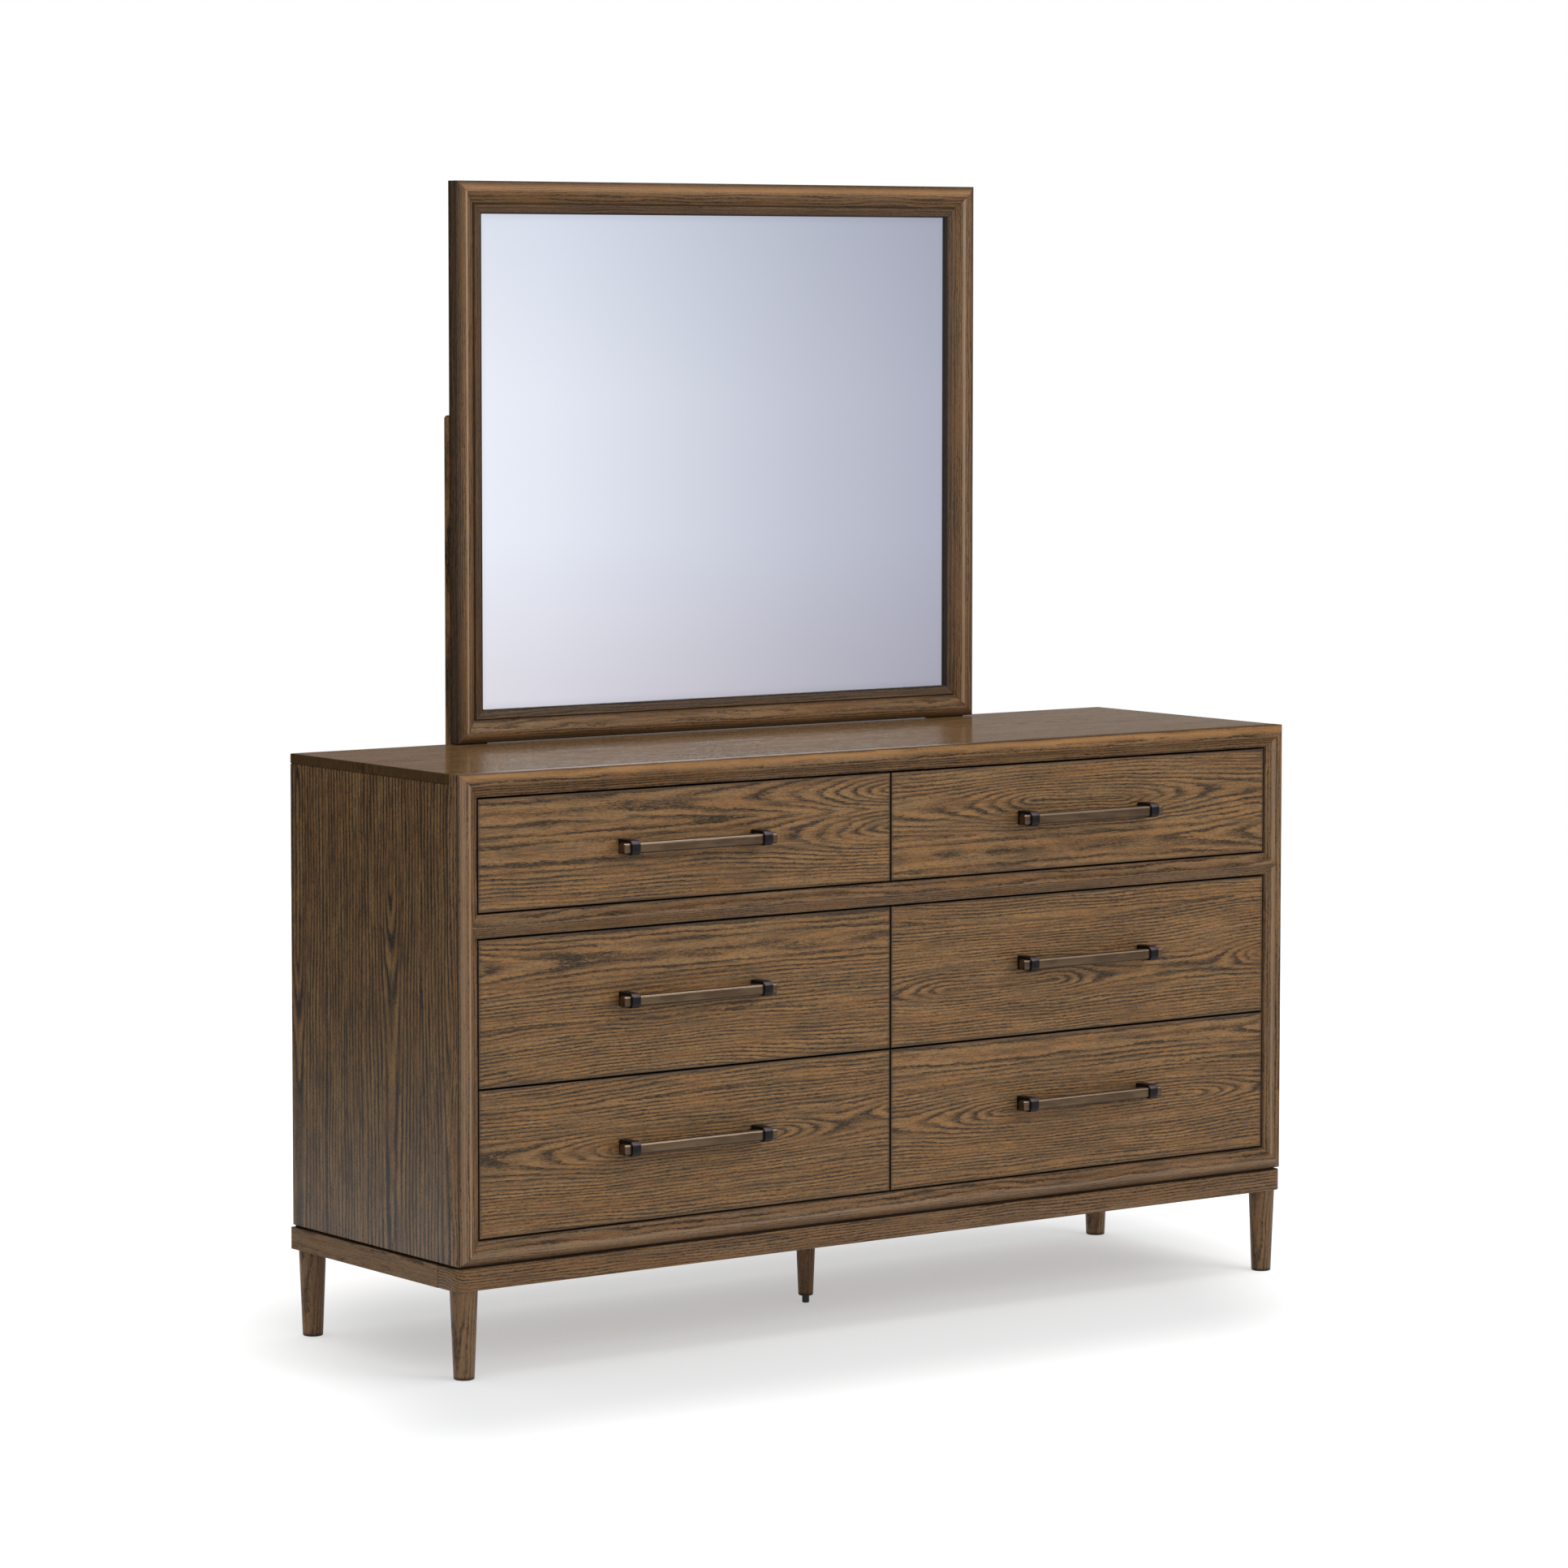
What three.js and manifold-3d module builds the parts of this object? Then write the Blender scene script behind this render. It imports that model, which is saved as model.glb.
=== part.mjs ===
// A double dresser with six drawers on turned, tapered legs, and a framed mirror that two posts
// hold behind it. Sizes are in millimetres, +Z is up, and the drawers face -Y.

import * as THREE from 'three';
import { mergeVertices } from 'three/addons/utils/BufferGeometryUtils.js';
import Module from 'manifold-3d';

const wasm = await Module();
wasm.setup();

// Base frame, the widest and deepest part of the dresser
const base_width = 1682.75;
const base_depth = 495.3;
const base_rail_height = 35.5;
const base_rail_thickness = 22;
const base_corner_radius = 15;
const base_return_length = 58.3;
const shadow_groove_height = 3.5;
const shadow_groove_depth = 8;
const cross_rail_width = 70;

// Legs
const leg_height = 140.5;
const leg_top_diameter = 44;
const leg_foot_diameter = 33;
const leg_side_setback = 25.4;
const leg_end_setback = 23.5;
const foot_edge_radius = 2.5;
const centre_leg_top_diameter = 35;
const centre_leg_foot_diameter = 25;
const centre_leg_forward = 10;

// Screw glide under the centre leg
const glide_diameter = 12;
const glide_length = 34;
const glide_show = 12.5;
const glide_travel = 10;
const glide_headroom = 2;
const glide_clearance = 0.3;
const glide_edge_radius = 1.5;

// Case
const case_side_inset = 3.8;
const side_panel_thickness = 18;
const top_panel_thickness = 16;
const bottom_panel_thickness = 18;
const divider_thickness = 18;
const back_board_thickness = 6;
const back_rebate_width = 9;
const back_board_clearance = 0.3;
const seam_chamfer = 1.4;
const top_arris_radius = 2;

// Cushion moulding of the face frame
const frame_width = 36.5;
const frame_edge_lead = 1;
const frame_crown_rise = 13;
const frame_crown_inset = 14;
const frame_arris_rise = 1.5;
const mitre_gap = 0.3;

// Drawers
const upper_drawer_height = 176;
const lower_drawer_height = 231.05;
const drawer_gap = 3;
const drawer_face_setback = 5.65;
const drawer_front_thickness = 20;
const drawer_front_clearance = 2.5;
const drawer_front_ease = 0.8;
const box_side_margin = 21;
const box_foot_margin = 12;
const box_head_margin = 24;
const box_back_clearance = 23.65;
const box_wall = 12;
const box_floor_thickness = 5;
const box_floor_lift = 8;

// Wooden drawer runners
const runner_ledge_thickness = 18;
const runner_lap = 9;
const runner_guide_height = 20;
const runner_side_play = 1;
const runner_seat_gap = 0.3;
const runner_end_clearance = 2;
const drawer_stop_clearance = 0.5;

// Bar pulls
const bracket_spacing = 256;
const bracket_width = 16;
const bracket_height = 23.5;
const bracket_depth = 38.5;
const bracket_front_radius = 5;
const bracket_ease = 0.8;
const bar_height = 17.5;
const bar_thickness = 16;
const bar_corner_radius = 4.5;
const bar_recess = 4;
const bar_drop = 1;
const bar_overhang = 12;
const bar_end_ease = 2.2;
const bar_fit_clearance = 0.3;
const upper_pull_rise = 0;
const lower_pull_rise = 5.3;

// Mirror
const mirror_width = 1066;
const mirror_height = 916.95;
const mirror_lift = 1.5;
const mirror_side_depth = 23.5;
const mirror_crown_depth = 30;
const mirror_crown_inset = 16;
const mirror_groove_inset = 36.5;
const mirror_groove_depth = 16.5;
const mirror_groove_width = 2;
const mirror_lip_outer_depth = 20;
const mirror_lip_inner_depth = 16.5;
const mirror_lip_width = 14.9;
const mirror_rebate_depth = 10.5;
const mirror_rebate_width = 8.4;
const glass_thickness = 4;
const glass_edge_clearance = 1;
const backing_thickness = 3;

// Mirror posts
const post_width = 70;
const post_thickness = 18;
const post_side_inset = 2.3;
const post_above_top = 537.2;
const post_below_top = 400;
const post_corner_radius = 6;

// Cutting and welding
const overrun = 5;
const weld_distance = 0.0005;

// Unitless values
const cushion_fullness = 1.35;
const cushion_steps = 9;
const round_steps = 4;
const turned_sides = 32;

// Places that follow from the sizes above
const base_half = base_width / 2;
const base_front = -base_depth / 2;
const base_back = base_depth / 2;
const base_top = leg_height + base_rail_height;
const case_bottom = base_top + shadow_groove_height;
const case_half = base_half - case_side_inset;
const case_back = base_back;
const opening_half = case_half - frame_width;
const lower_opening_bottom = case_bottom + frame_width;
const lower_opening_top = lower_opening_bottom + 2 * lower_drawer_height + 3 * drawer_gap;
const upper_opening_bottom = lower_opening_top + frame_width;
const upper_opening_top = upper_opening_bottom + upper_drawer_height + 2 * drawer_gap;
const case_top = upper_opening_top + frame_width;
const drawer_face = base_front + drawer_face_setback;
const drawer_front_back = drawer_face + drawer_front_thickness;
const frame_edge = drawer_face - frame_edge_lead;
const frame_rear = drawer_front_back + drawer_front_clearance;
const frame_stock = frame_rear - frame_edge;
const panel_inner = case_half - side_panel_thickness;
const floor_top = case_bottom + bottom_panel_thickness;
const top_underside = case_top - top_panel_thickness;
const board_front = case_back - back_board_thickness;
const divider_half = divider_thickness / 2;

// Materials
function finish(color, roughness, metalness = 0) {
  return new THREE.MeshStandardMaterial({ color, roughness, metalness, flatShading: true });
}

const oak_veneer = finish(0x7a6248, 0.5);
const oak_moulding = finish(0x7d6349, 0.45);
const oak_side = finish(0x5f4d3b, 0.55);
const oak_leg = finish(0x6a5644, 0.5);
const drawer_lining = finish(0xb79a72, 0.7);
const hardboard = finish(0x6b4e33, 0.85);
const antique_bronze = finish(0x7d6a4f, 0.35, 0.7);
const black_iron = finish(0x1d1c1f, 0.45, 0.5);
const black_nylon = finish(0x151515, 0.6);
const silvered_glass = finish(0xdfe3ea, 0.02, 1);

// Turns a geometry into one closed mesh that shares its corners and faces out
function closed(geometry) {
  const bare = geometry.clone();
  bare.deleteAttribute('normal');
  bare.deleteAttribute('uv');
  const welded = mergeVertices(bare, weld_distance);
  const corner = welded.index.array;
  const points = welded.attributes.position;
  const a = new THREE.Vector3();
  const b = new THREE.Vector3();
  const c = new THREE.Vector3();
  const kept = [];
  let volume = 0;
  for (let i = 0; i < corner.length; i += 3) {
    const [p, q, r] = corner.slice(i, i + 3);
    if (p === q || q === r || r === p) continue;
    kept.push(p, q, r);
    a.fromBufferAttribute(points, p);
    b.fromBufferAttribute(points, q);
    c.fromBufferAttribute(points, r);
    volume += a.dot(b.cross(c));
  }
  if (volume < 0) kept.reverse();
  welded.setIndex(kept);
  return welded;
}

function toSolid(geometry) {
  const { attributes, index } = closed(geometry);
  const vertProperties = Float32Array.from(attributes.position.array);
  const triVerts = Uint32Array.from(index.array);
  return new wasm.Manifold(new wasm.Mesh({ numProp: 3, vertProperties, triVerts }));
}

function toGeometry(solid) {
  const { vertProperties, triVerts } = solid.getMesh();
  const geometry = new THREE.BufferGeometry();
  geometry.setAttribute('position', new THREE.BufferAttribute(vertProperties, 3));
  geometry.setIndex(new THREE.BufferAttribute(triVerts, 1));
  return geometry;
}

function joined(first, ...others) {
  return toGeometry(others.reduce((whole, piece) => whole.add(toSolid(piece)), toSolid(first)));
}

function cut(body, ...tools) {
  return toGeometry(tools.reduce((rest, tool) => rest.subtract(toSolid(tool)), toSolid(body)));
}

function common(first, second) {
  return toGeometry(toSolid(first).intersect(toSolid(second)));
}

// Lays an outline's two directions along two axes of the part. The third follows from them.
function laid(geometry, across, upward) {
  const along = new THREE.Vector3().crossVectors(across, upward);
  return geometry.applyMatrix4(new THREE.Matrix4().makeBasis(across, upward, along));
}

const right = new THREE.Vector3(1, 0, 0);
const left = new THREE.Vector3(-1, 0, 0);
const back = new THREE.Vector3(0, 1, 0);
const front = new THREE.Vector3(0, -1, 0);
const up = new THREE.Vector3(0, 0, 1);
const down = new THREE.Vector3(0, 0, -1);

function block(x0, x1, y0, y1, z0, z1) {
  const geometry = new THREE.BoxGeometry(x1 - x0, y1 - y0, z1 - z0);
  return geometry.translate((x0 + x1) / 2, (y0 + y1) / 2, (z0 + z1) / 2);
}

function outline(points) {
  return new THREE.Shape(points.map(([a, b]) => new THREE.Vector2(a, b)));
}

function extruded(shape, length) {
  return new THREE.ExtrudeGeometry(shape, {
    depth: length,
    bevelEnabled: false,
    curveSegments: round_steps,
  });
}

// The outline is drawn inside its true edge by the ease, which the bevel gives back
function eased(shape, length, ease, steps) {
  const geometry = new THREE.ExtrudeGeometry(shape, {
    depth: length - 2 * ease,
    bevelSize: ease,
    bevelThickness: ease,
    bevelSegments: steps,
    curveSegments: round_steps,
  });
  return geometry.translate(0, 0, ease);
}

// A plan outline in X and Y, raised from z0 to z1
function raised(shape, z0, z1) {
  return extruded(shape, z1 - z0).translate(0, 0, z0);
}

// A front outline in X and Z, run from the back to the front
function runForward(shape, y_back, y_front) {
  return laid(extruded(shape, y_back - y_front), right, up).translate(0, y_back, 0);
}

// A side outline in Y and Z, run from the left to the right
function runAcross(shape, x0, x1) {
  return laid(extruded(shape, x1 - x0), back, up).translate(x0, 0, 0);
}

function roundedRectangle(a0, a1, b0, b1, radius) {
  const shape = new THREE.Shape();
  shape.moveTo(a0 + radius, b0);
  shape.lineTo(a1 - radius, b0);
  shape.absarc(a1 - radius, b0 + radius, radius, -Math.PI / 2, 0);
  shape.absarc(a1 - radius, b1 - radius, radius, 0, Math.PI / 2);
  shape.absarc(a0 + radius, b1 - radius, radius, Math.PI / 2, Math.PI);
  shape.absarc(a0 + radius, b0 + radius, radius, Math.PI, 1.5 * Math.PI);
  return shape;
}

function turned(points) {
  const profile = points.map(([radius, height]) => new THREE.Vector2(radius, height));
  return new THREE.LatheGeometry(profile, turned_sides).rotateX(Math.PI / 2);
}

const dresser = new THREE.Group();

function addPart(name, geometry, material, parent = dresser) {
  const mesh = new THREE.Mesh(closed(geometry), material);
  mesh.name = name;
  parent.add(mesh);
}

// Mouldings
// Height of a cushion flank at a distance in from its low edge: flat at first, full at the crown
function flank(distance, reach, rise, fullness) {
  return rise * Math.sin((Math.PI / 2) * (distance / reach) ** fullness);
}

// Points of a flank, from its low edge to the distance `until`
function flankPoints(reach, rise, fullness, until) {
  const points = [];
  for (let i = 0; i <= cushion_steps; i += 1) {
    const distance = (until * i) / cushion_steps;
    points.push([distance, flank(distance, reach, rise, fullness)]);
  }
  return points;
}

// Section of a cushion that rises steeply from its outer arris and falls gently to its inner edge.
// The first number of a point is the distance in from the outer edge, the second the height.
function cushion(width, crown_inset, arris_height, crown_height, edge_height) {
  const inner_reach = width - crown_inset;
  const outer = flankPoints(crown_inset, crown_height - arris_height, 1, crown_inset);
  const inner = flankPoints(inner_reach, crown_height - edge_height, cushion_fullness, inner_reach);
  const rising = outer.map(([distance, rise]) => [distance, arris_height + rise]);
  const falling = inner.map(([distance, rise]) => [width - distance, edge_height + rise]);
  return [...rising, ...falling.reverse().slice(1)];
}

// Runs a section along a frame member. The member's outer edge lies on the given point, and the
// section's heights point forward.
function moulding(section, across, length, x, y, z) {
  const run = extruded(outline(section), length).translate(0, 0, -length / 2);
  return laid(run, across, front).translate(x, y, z);
}

// Cuts a member to its outline in front view, which holds its mitres and notches
function cutToFrontView(member, points, y_back, y_front) {
  return common(member, runForward(outline(points), y_back + overrun, y_front - overrun));
}

function mirrored(points) {
  return points.map(([a, b]) => [-a, b]);
}

// Face frame
const frame_front = frame_edge - frame_crown_rise;
const mitre_shift = mitre_gap * Math.SQRT2;
const frame_mid = (case_bottom + case_top) / 2;
const middle_rail_z = lower_opening_top + frame_width / 2;

const frame_section = [
  [0, 0],
  ...cushion(
    frame_width,
    frame_crown_inset,
    frame_stock + frame_arris_rise,
    frame_stock + frame_crown_rise,
    frame_stock,
  ),
  [frame_width, 0],
];

// The stile's front view: mitred at both ends, with a bird's mouth for the middle rail
const stile_view = [
  [case_half, case_bottom],
  [case_half, case_top],
  [opening_half, upper_opening_top],
  [opening_half, upper_opening_bottom],
  [opening_half + frame_width / 2, middle_rail_z],
  [opening_half, lower_opening_top],
  [opening_half, lower_opening_bottom],
];

// Behind its side face a stile has half of the seam's groove
const stile_section = [[seam_chamfer, 0], [0, seam_chamfer], ...frame_section.slice(1)];

function addStiles() {
  const length = case_top - case_bottom;
  const stile_right = moulding(stile_section, left, length, case_half, frame_rear, frame_mid);
  const stile_left = moulding(stile_section, right, length, -case_half, frame_rear, frame_mid);
  addPart(
    'stile_right',
    cutToFrontView(stile_right, stile_view, frame_rear, frame_front),
    oak_moulding,
  );
  addPart(
    'stile_left',
    cutToFrontView(stile_left, mirrored(stile_view), frame_rear, frame_front),
    oak_moulding,
  );
}

function addEndRail(name, across, outer_z, inner_z) {
  const view = [
    [-case_half + mitre_shift, outer_z],
    [case_half - mitre_shift, outer_z],
    [opening_half - mitre_shift, inner_z],
    [-opening_half + mitre_shift, inner_z],
  ];
  const member = moulding(frame_section, across, 2 * case_half, 0, frame_rear, outer_z);
  addPart(name, cutToFrontView(member, view, frame_rear, frame_front), oak_moulding);
}

// The middle rail has the stile's inner flank on both sides, so that its pointed ends meet it
function addMiddleRail() {
  const half = frame_width / 2;
  const reach = frame_width - frame_crown_inset;
  const rise = flankPoints(reach, frame_crown_rise, cushion_fullness, half);
  const lower = rise.map(([distance, height]) => [distance - half, frame_stock + height]);
  const upper = mirrored(lower).reverse().slice(1);
  const section = [[-half, 0], ...lower, ...upper, [half, 0]];
  const tip = opening_half + half - mitre_shift;
  const shoulder = opening_half - mitre_shift;
  const view = [
    [tip, middle_rail_z],
    [shoulder, upper_opening_bottom],
    [-shoulder, upper_opening_bottom],
    [-tip, middle_rail_z],
    [-shoulder, lower_opening_top],
    [shoulder, lower_opening_top],
  ];
  const member = moulding(section, up, 2 * case_half, 0, frame_rear, middle_rail_z);
  addPart('middle_rail', cutToFrontView(member, view, frame_rear, frame_front), oak_moulding);
}

// Base frame
const rail_inner = base_half - base_rail_thickness;
const front_rail_inner = base_front + base_rail_thickness;
const back_rail_inner = base_back - base_rail_thickness;
const return_end = base_front + base_return_length;
const corner_block = base_return_length - base_rail_thickness;
const tongue_half = base_half - shadow_groove_depth;
const tongue_front = base_front + shadow_groove_depth;
const tongue_back = base_back - shadow_groove_depth;

// Plan of the front rail: it turns both corners on a radius and has a glued block in each angle
function frontRailPlan(half, face, radius) {
  const shape = new THREE.Shape();
  shape.moveTo(-rail_inner, return_end);
  shape.lineTo(-half, return_end);
  shape.absarc(-half + radius, face + radius, radius, Math.PI, 1.5 * Math.PI);
  shape.absarc(half - radius, face + radius, radius, 1.5 * Math.PI, 2 * Math.PI);
  shape.lineTo(half, return_end);
  shape.lineTo(rail_inner, return_end);
  shape.lineTo(rail_inner - corner_block, front_rail_inner);
  shape.lineTo(-rail_inner + corner_block, front_rail_inner);
  return shape;
}

function backRailPlan(rear) {
  return outline([
    [-rail_inner, rear],
    [-rail_inner, back_rail_inner - corner_block],
    [-rail_inner + corner_block, back_rail_inner],
    [rail_inner - corner_block, back_rail_inner],
    [rail_inner, back_rail_inner - corner_block],
    [rail_inner, rear],
  ]);
}

function sideRailPlan(sign, outer) {
  return outline([
    [sign * rail_inner, return_end],
    [sign * outer, return_end],
    [sign * outer, base_back],
    [sign * rail_inner, base_back],
  ]);
}

// A rail is its full outline up to its top, and a tongue set back from its face, which stands
// higher, carries the case and leaves the dark groove round it
function addBaseRail(name, body_plan, tongue_plan, material) {
  const body = raised(body_plan, leg_height, base_top);
  const tongue = raised(tongue_plan, leg_height, case_bottom);
  addPart(name, joined(body, tongue), material);
}

function addBase() {
  const tongue_radius = Math.max(base_corner_radius - shadow_groove_depth, seam_chamfer);
  addBaseRail(
    'base_rail_front',
    frontRailPlan(base_half, base_front, base_corner_radius),
    frontRailPlan(tongue_half, tongue_front, tongue_radius),
    oak_moulding,
  );
  addBaseRail('base_rail_back', backRailPlan(base_back), backRailPlan(tongue_back), oak_side);
  addBaseRail('base_rail_left', sideRailPlan(-1, base_half), sideRailPlan(-1, tongue_half), oak_side);
  addBaseRail('base_rail_right', sideRailPlan(1, base_half), sideRailPlan(1, tongue_half), oak_side);
  const half = cross_rail_width / 2;
  addPart(
    'base_cross_rail',
    block(-half, half, front_rail_inner, back_rail_inner, leg_height, case_bottom),
    drawer_lining,
  );
}

// Legs
// Rounded lower edge of a turned foot, from its underside to its side
function footEdge(radius, edge, bottom) {
  const points = [];
  for (let i = 0; i <= round_steps; i += 1) {
    const angle = (Math.PI / 2) * (i / round_steps);
    points.push([
      radius - edge + edge * Math.sin(angle),
      bottom + edge - edge * Math.cos(angle),
    ]);
  }
  return points;
}

function addLegs() {
  const foot = leg_foot_diameter / 2;
  const profile = [
    [0, 0],
    ...footEdge(foot, foot_edge_radius, 0),
    [leg_top_diameter / 2, leg_height],
    [0, leg_height],
  ];
  const x = base_half - leg_side_setback;
  const y = base_back - leg_end_setback;
  for (const [end, end_sign] of [['front', -1], ['back', 1]]) {
    for (const [side, side_sign] of [['left', -1], ['right', 1]]) {
      const leg = turned(profile).translate(side_sign * x, end_sign * y, 0);
      addPart(`leg_${end}_${side}`, leg, oak_leg);
    }
  }
}

function addCentreLeg() {
  const foot = centre_leg_foot_diameter / 2;
  const bore = glide_diameter / 2 + glide_clearance;
  const bore_top = glide_length + glide_travel + glide_headroom;
  const leg = turned([
    [0, bore_top],
    [bore, bore_top],
    [bore, glide_show],
    ...footEdge(foot, foot_edge_radius, glide_show),
    [centre_leg_top_diameter / 2, leg_height],
    [0, leg_height],
  ]);
  addPart('centre_leg', leg.translate(0, -centre_leg_forward, 0), oak_leg);
  const glide = turned([
    [0, 0],
    ...footEdge(glide_diameter / 2, glide_edge_radius, 0),
    [glide_diameter / 2, glide_length],
    [0, glide_length],
  ]);
  addPart('centre_leg_glide', glide.translate(0, -centre_leg_forward, 0), black_nylon);
}

// Drawer places. A row's height is that of its fronts, and its bottom is their lower edge.
const front_half = (opening_half - 1.5 * drawer_gap) / 2;
const column_centre = drawer_gap / 2 + front_half;
const box_half = front_half - box_side_margin;
const box_rear = board_front - box_back_clearance;
const rows = [
  {
    name: 'lower',
    bottom: lower_opening_bottom + drawer_gap,
    height: lower_drawer_height,
    pull_rise: lower_pull_rise,
  },
  {
    name: 'middle',
    bottom: lower_opening_bottom + 2 * drawer_gap + lower_drawer_height,
    height: lower_drawer_height,
    pull_rise: lower_pull_rise,
  },
  {
    name: 'upper',
    bottom: upper_opening_bottom + drawer_gap,
    height: upper_drawer_height,
    pull_rise: upper_pull_rise,
  },
];
const columns = [
  { name: 'left', sign: -1 },
  { name: 'right', sign: 1 },
];

// Case
// A runner is a ledge under the drawer's side, a guide beside it and a stop behind it. `outward`
// points from the drawer to the panel that holds the runner, and `root` lies inside that panel.
function runner(row, outward, box_face, root) {
  const seat = row.bottom + box_foot_margin - runner_seat_gap;
  const guide_top = seat + runner_guide_height;
  const ledge_bottom = seat - runner_ledge_thickness;
  const guide_face = box_face + outward * runner_side_play;
  const ledge_end = box_face - outward * runner_lap;
  const rear = board_front - runner_end_clearance;
  const section = outline([
    [root, guide_top],
    [guide_face, guide_top],
    [guide_face, seat],
    [ledge_end, seat],
    [ledge_end, ledge_bottom],
    [root, ledge_bottom],
  ]);
  const stop = outline([
    [root, guide_top],
    [ledge_end, guide_top],
    [ledge_end, ledge_bottom],
    [root, ledge_bottom],
  ]);
  return joined(
    runForward(section, rear, frame_rear + runner_end_clearance),
    runForward(stop, rear, box_rear + drawer_stop_clearance),
  );
}

// Takes the 45 degree chamfer off an upper outer arris that runs from front to back
function arrisCutter(sign, x, z) {
  const far = seam_chamfer + overrun;
  const triangle = outline([
    [sign * (x - far), z + overrun],
    [sign * (x + overrun), z + overrun],
    [sign * (x + overrun), z - far],
  ]);
  return runForward(triangle, case_back + overrun, frame_rear - overrun);
}

function addSidePanels() {
  const rebate = case_half - back_rebate_width;
  for (const { name, sign } of columns) {
    const plan = outline([
      [sign * panel_inner, frame_rear],
      [sign * (case_half - seam_chamfer), frame_rear],
      [sign * case_half, frame_rear + seam_chamfer],
      [sign * case_half, case_back],
      [sign * rebate, case_back],
      [sign * rebate, board_front],
      [sign * panel_inner, board_front],
    ]);
    const panel = cut(
      raised(plan, case_bottom, top_underside),
      arrisCutter(sign, case_half, top_underside),
    );
    const box_face = sign * (column_centre + box_half);
    const root = sign * (panel_inner + side_panel_thickness / 2);
    const runners = rows.map((row) => runner(row, sign, box_face, root));
    addPart(`side_panel_${name}`, joined(panel, ...runners), oak_side);
  }
}

function addDivider() {
  const panel = block(
    -divider_half,
    divider_half,
    frame_rear,
    board_front,
    floor_top,
    top_underside,
  );
  const runners = columns.flatMap(({ sign }) => {
    const box_face = sign * (column_centre - box_half);
    return rows.map((row) => runner(row, -sign, box_face, 0));
  });
  addPart('centre_divider', joined(panel, ...runners), drawer_lining);
}

function addTopPanel() {
  const side = case_half - top_arris_radius;
  const shoulder = case_top - top_arris_radius;
  const view = new THREE.Shape();
  view.moveTo(-case_half + seam_chamfer, top_underside);
  view.lineTo(case_half - seam_chamfer, top_underside);
  view.lineTo(case_half, top_underside + seam_chamfer);
  view.absarc(side, shoulder, top_arris_radius, 0, Math.PI / 2);
  view.absarc(-side, shoulder, top_arris_radius, Math.PI / 2, Math.PI);
  view.lineTo(-case_half, top_underside + seam_chamfer);
  addPart('top_panel', runForward(view, case_back, frame_rear), oak_veneer);
}

function addCase() {
  addTopPanel();
  addSidePanels();
  addPart(
    'bottom_panel',
    block(-panel_inner, panel_inner, frame_rear, board_front, case_bottom, floor_top),
    drawer_lining,
  );
  addDivider();
  const board_half = case_half - back_rebate_width - back_board_clearance;
  addPart(
    'back_panel',
    block(-board_half, board_half, board_front, case_back, case_bottom, top_underside),
    hardboard,
  );
  addStiles();
  addEndRail('top_rail', down, case_top, upper_opening_top);
  addMiddleRail();
  addEndRail('bottom_rail', up, case_bottom, lower_opening_bottom);
}

// Drawers
function drawerFront(height) {
  const view = outline([
    [-front_half + drawer_front_ease, drawer_front_ease],
    [front_half - drawer_front_ease, drawer_front_ease],
    [front_half - drawer_front_ease, height - drawer_front_ease],
    [-front_half + drawer_front_ease, height - drawer_front_ease],
  ]);
  const board = eased(view, drawer_front_thickness, drawer_front_ease, round_steps / 2);
  return laid(board, right, up).translate(0, drawer_front_back, 0);
}

function drawerBox(height) {
  const bottom = box_foot_margin;
  const top = height - box_head_margin;
  const floor_bottom = bottom + box_floor_lift;
  const inner = box_half - box_wall;
  const inner_front = drawer_front_back + box_wall;
  const inner_rear = box_rear - box_wall;
  const upper = floor_bottom + box_floor_thickness;
  return cut(
    block(-box_half, box_half, drawer_front_back, box_rear, bottom, top),
    block(-inner, inner, inner_front, inner_rear, upper, top + overrun),
    block(-inner, inner, inner_front, inner_rear, bottom - overrun, floor_bottom),
  );
}

// Bar pulls. The bar is one length that passes through both brackets.
const bar_front = drawer_face - bracket_depth + bar_recess;

function barSection(growth) {
  return roundedRectangle(
    bar_front - growth,
    bar_front + bar_thickness + growth,
    -bar_drop - bar_height / 2 - growth,
    -bar_drop + bar_height / 2 + growth,
    bar_corner_radius + growth,
  );
}

function pullBar() {
  const length = bracket_spacing + bracket_width + 2 * bar_overhang;
  const bar = eased(barSection(-bar_end_ease), length, bar_end_ease, round_steps);
  return laid(bar, back, up).translate(-length / 2, 0, 0);
}

// Side view of a bracket: square against the drawer and rounded in front
function pullBracket() {
  const half = bracket_height / 2 - bracket_ease;
  const rear = drawer_face - bracket_ease;
  const nose = drawer_face - bracket_depth + bracket_ease + bracket_front_radius;
  const side = new THREE.Shape();
  side.moveTo(rear, -half);
  side.lineTo(rear, half);
  side.absarc(nose, half - bracket_front_radius, bracket_front_radius, Math.PI / 2, Math.PI);
  side.absarc(nose, bracket_front_radius - half, bracket_front_radius, Math.PI, 1.5 * Math.PI);
  const body = laid(eased(side, bracket_width, bracket_ease, round_steps / 2), back, up);
  const hole = runAcross(barSection(bar_fit_clearance), -overrun, bracket_width + overrun);
  return cut(body, hole).translate(-bracket_width / 2, 0, 0);
}

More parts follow.
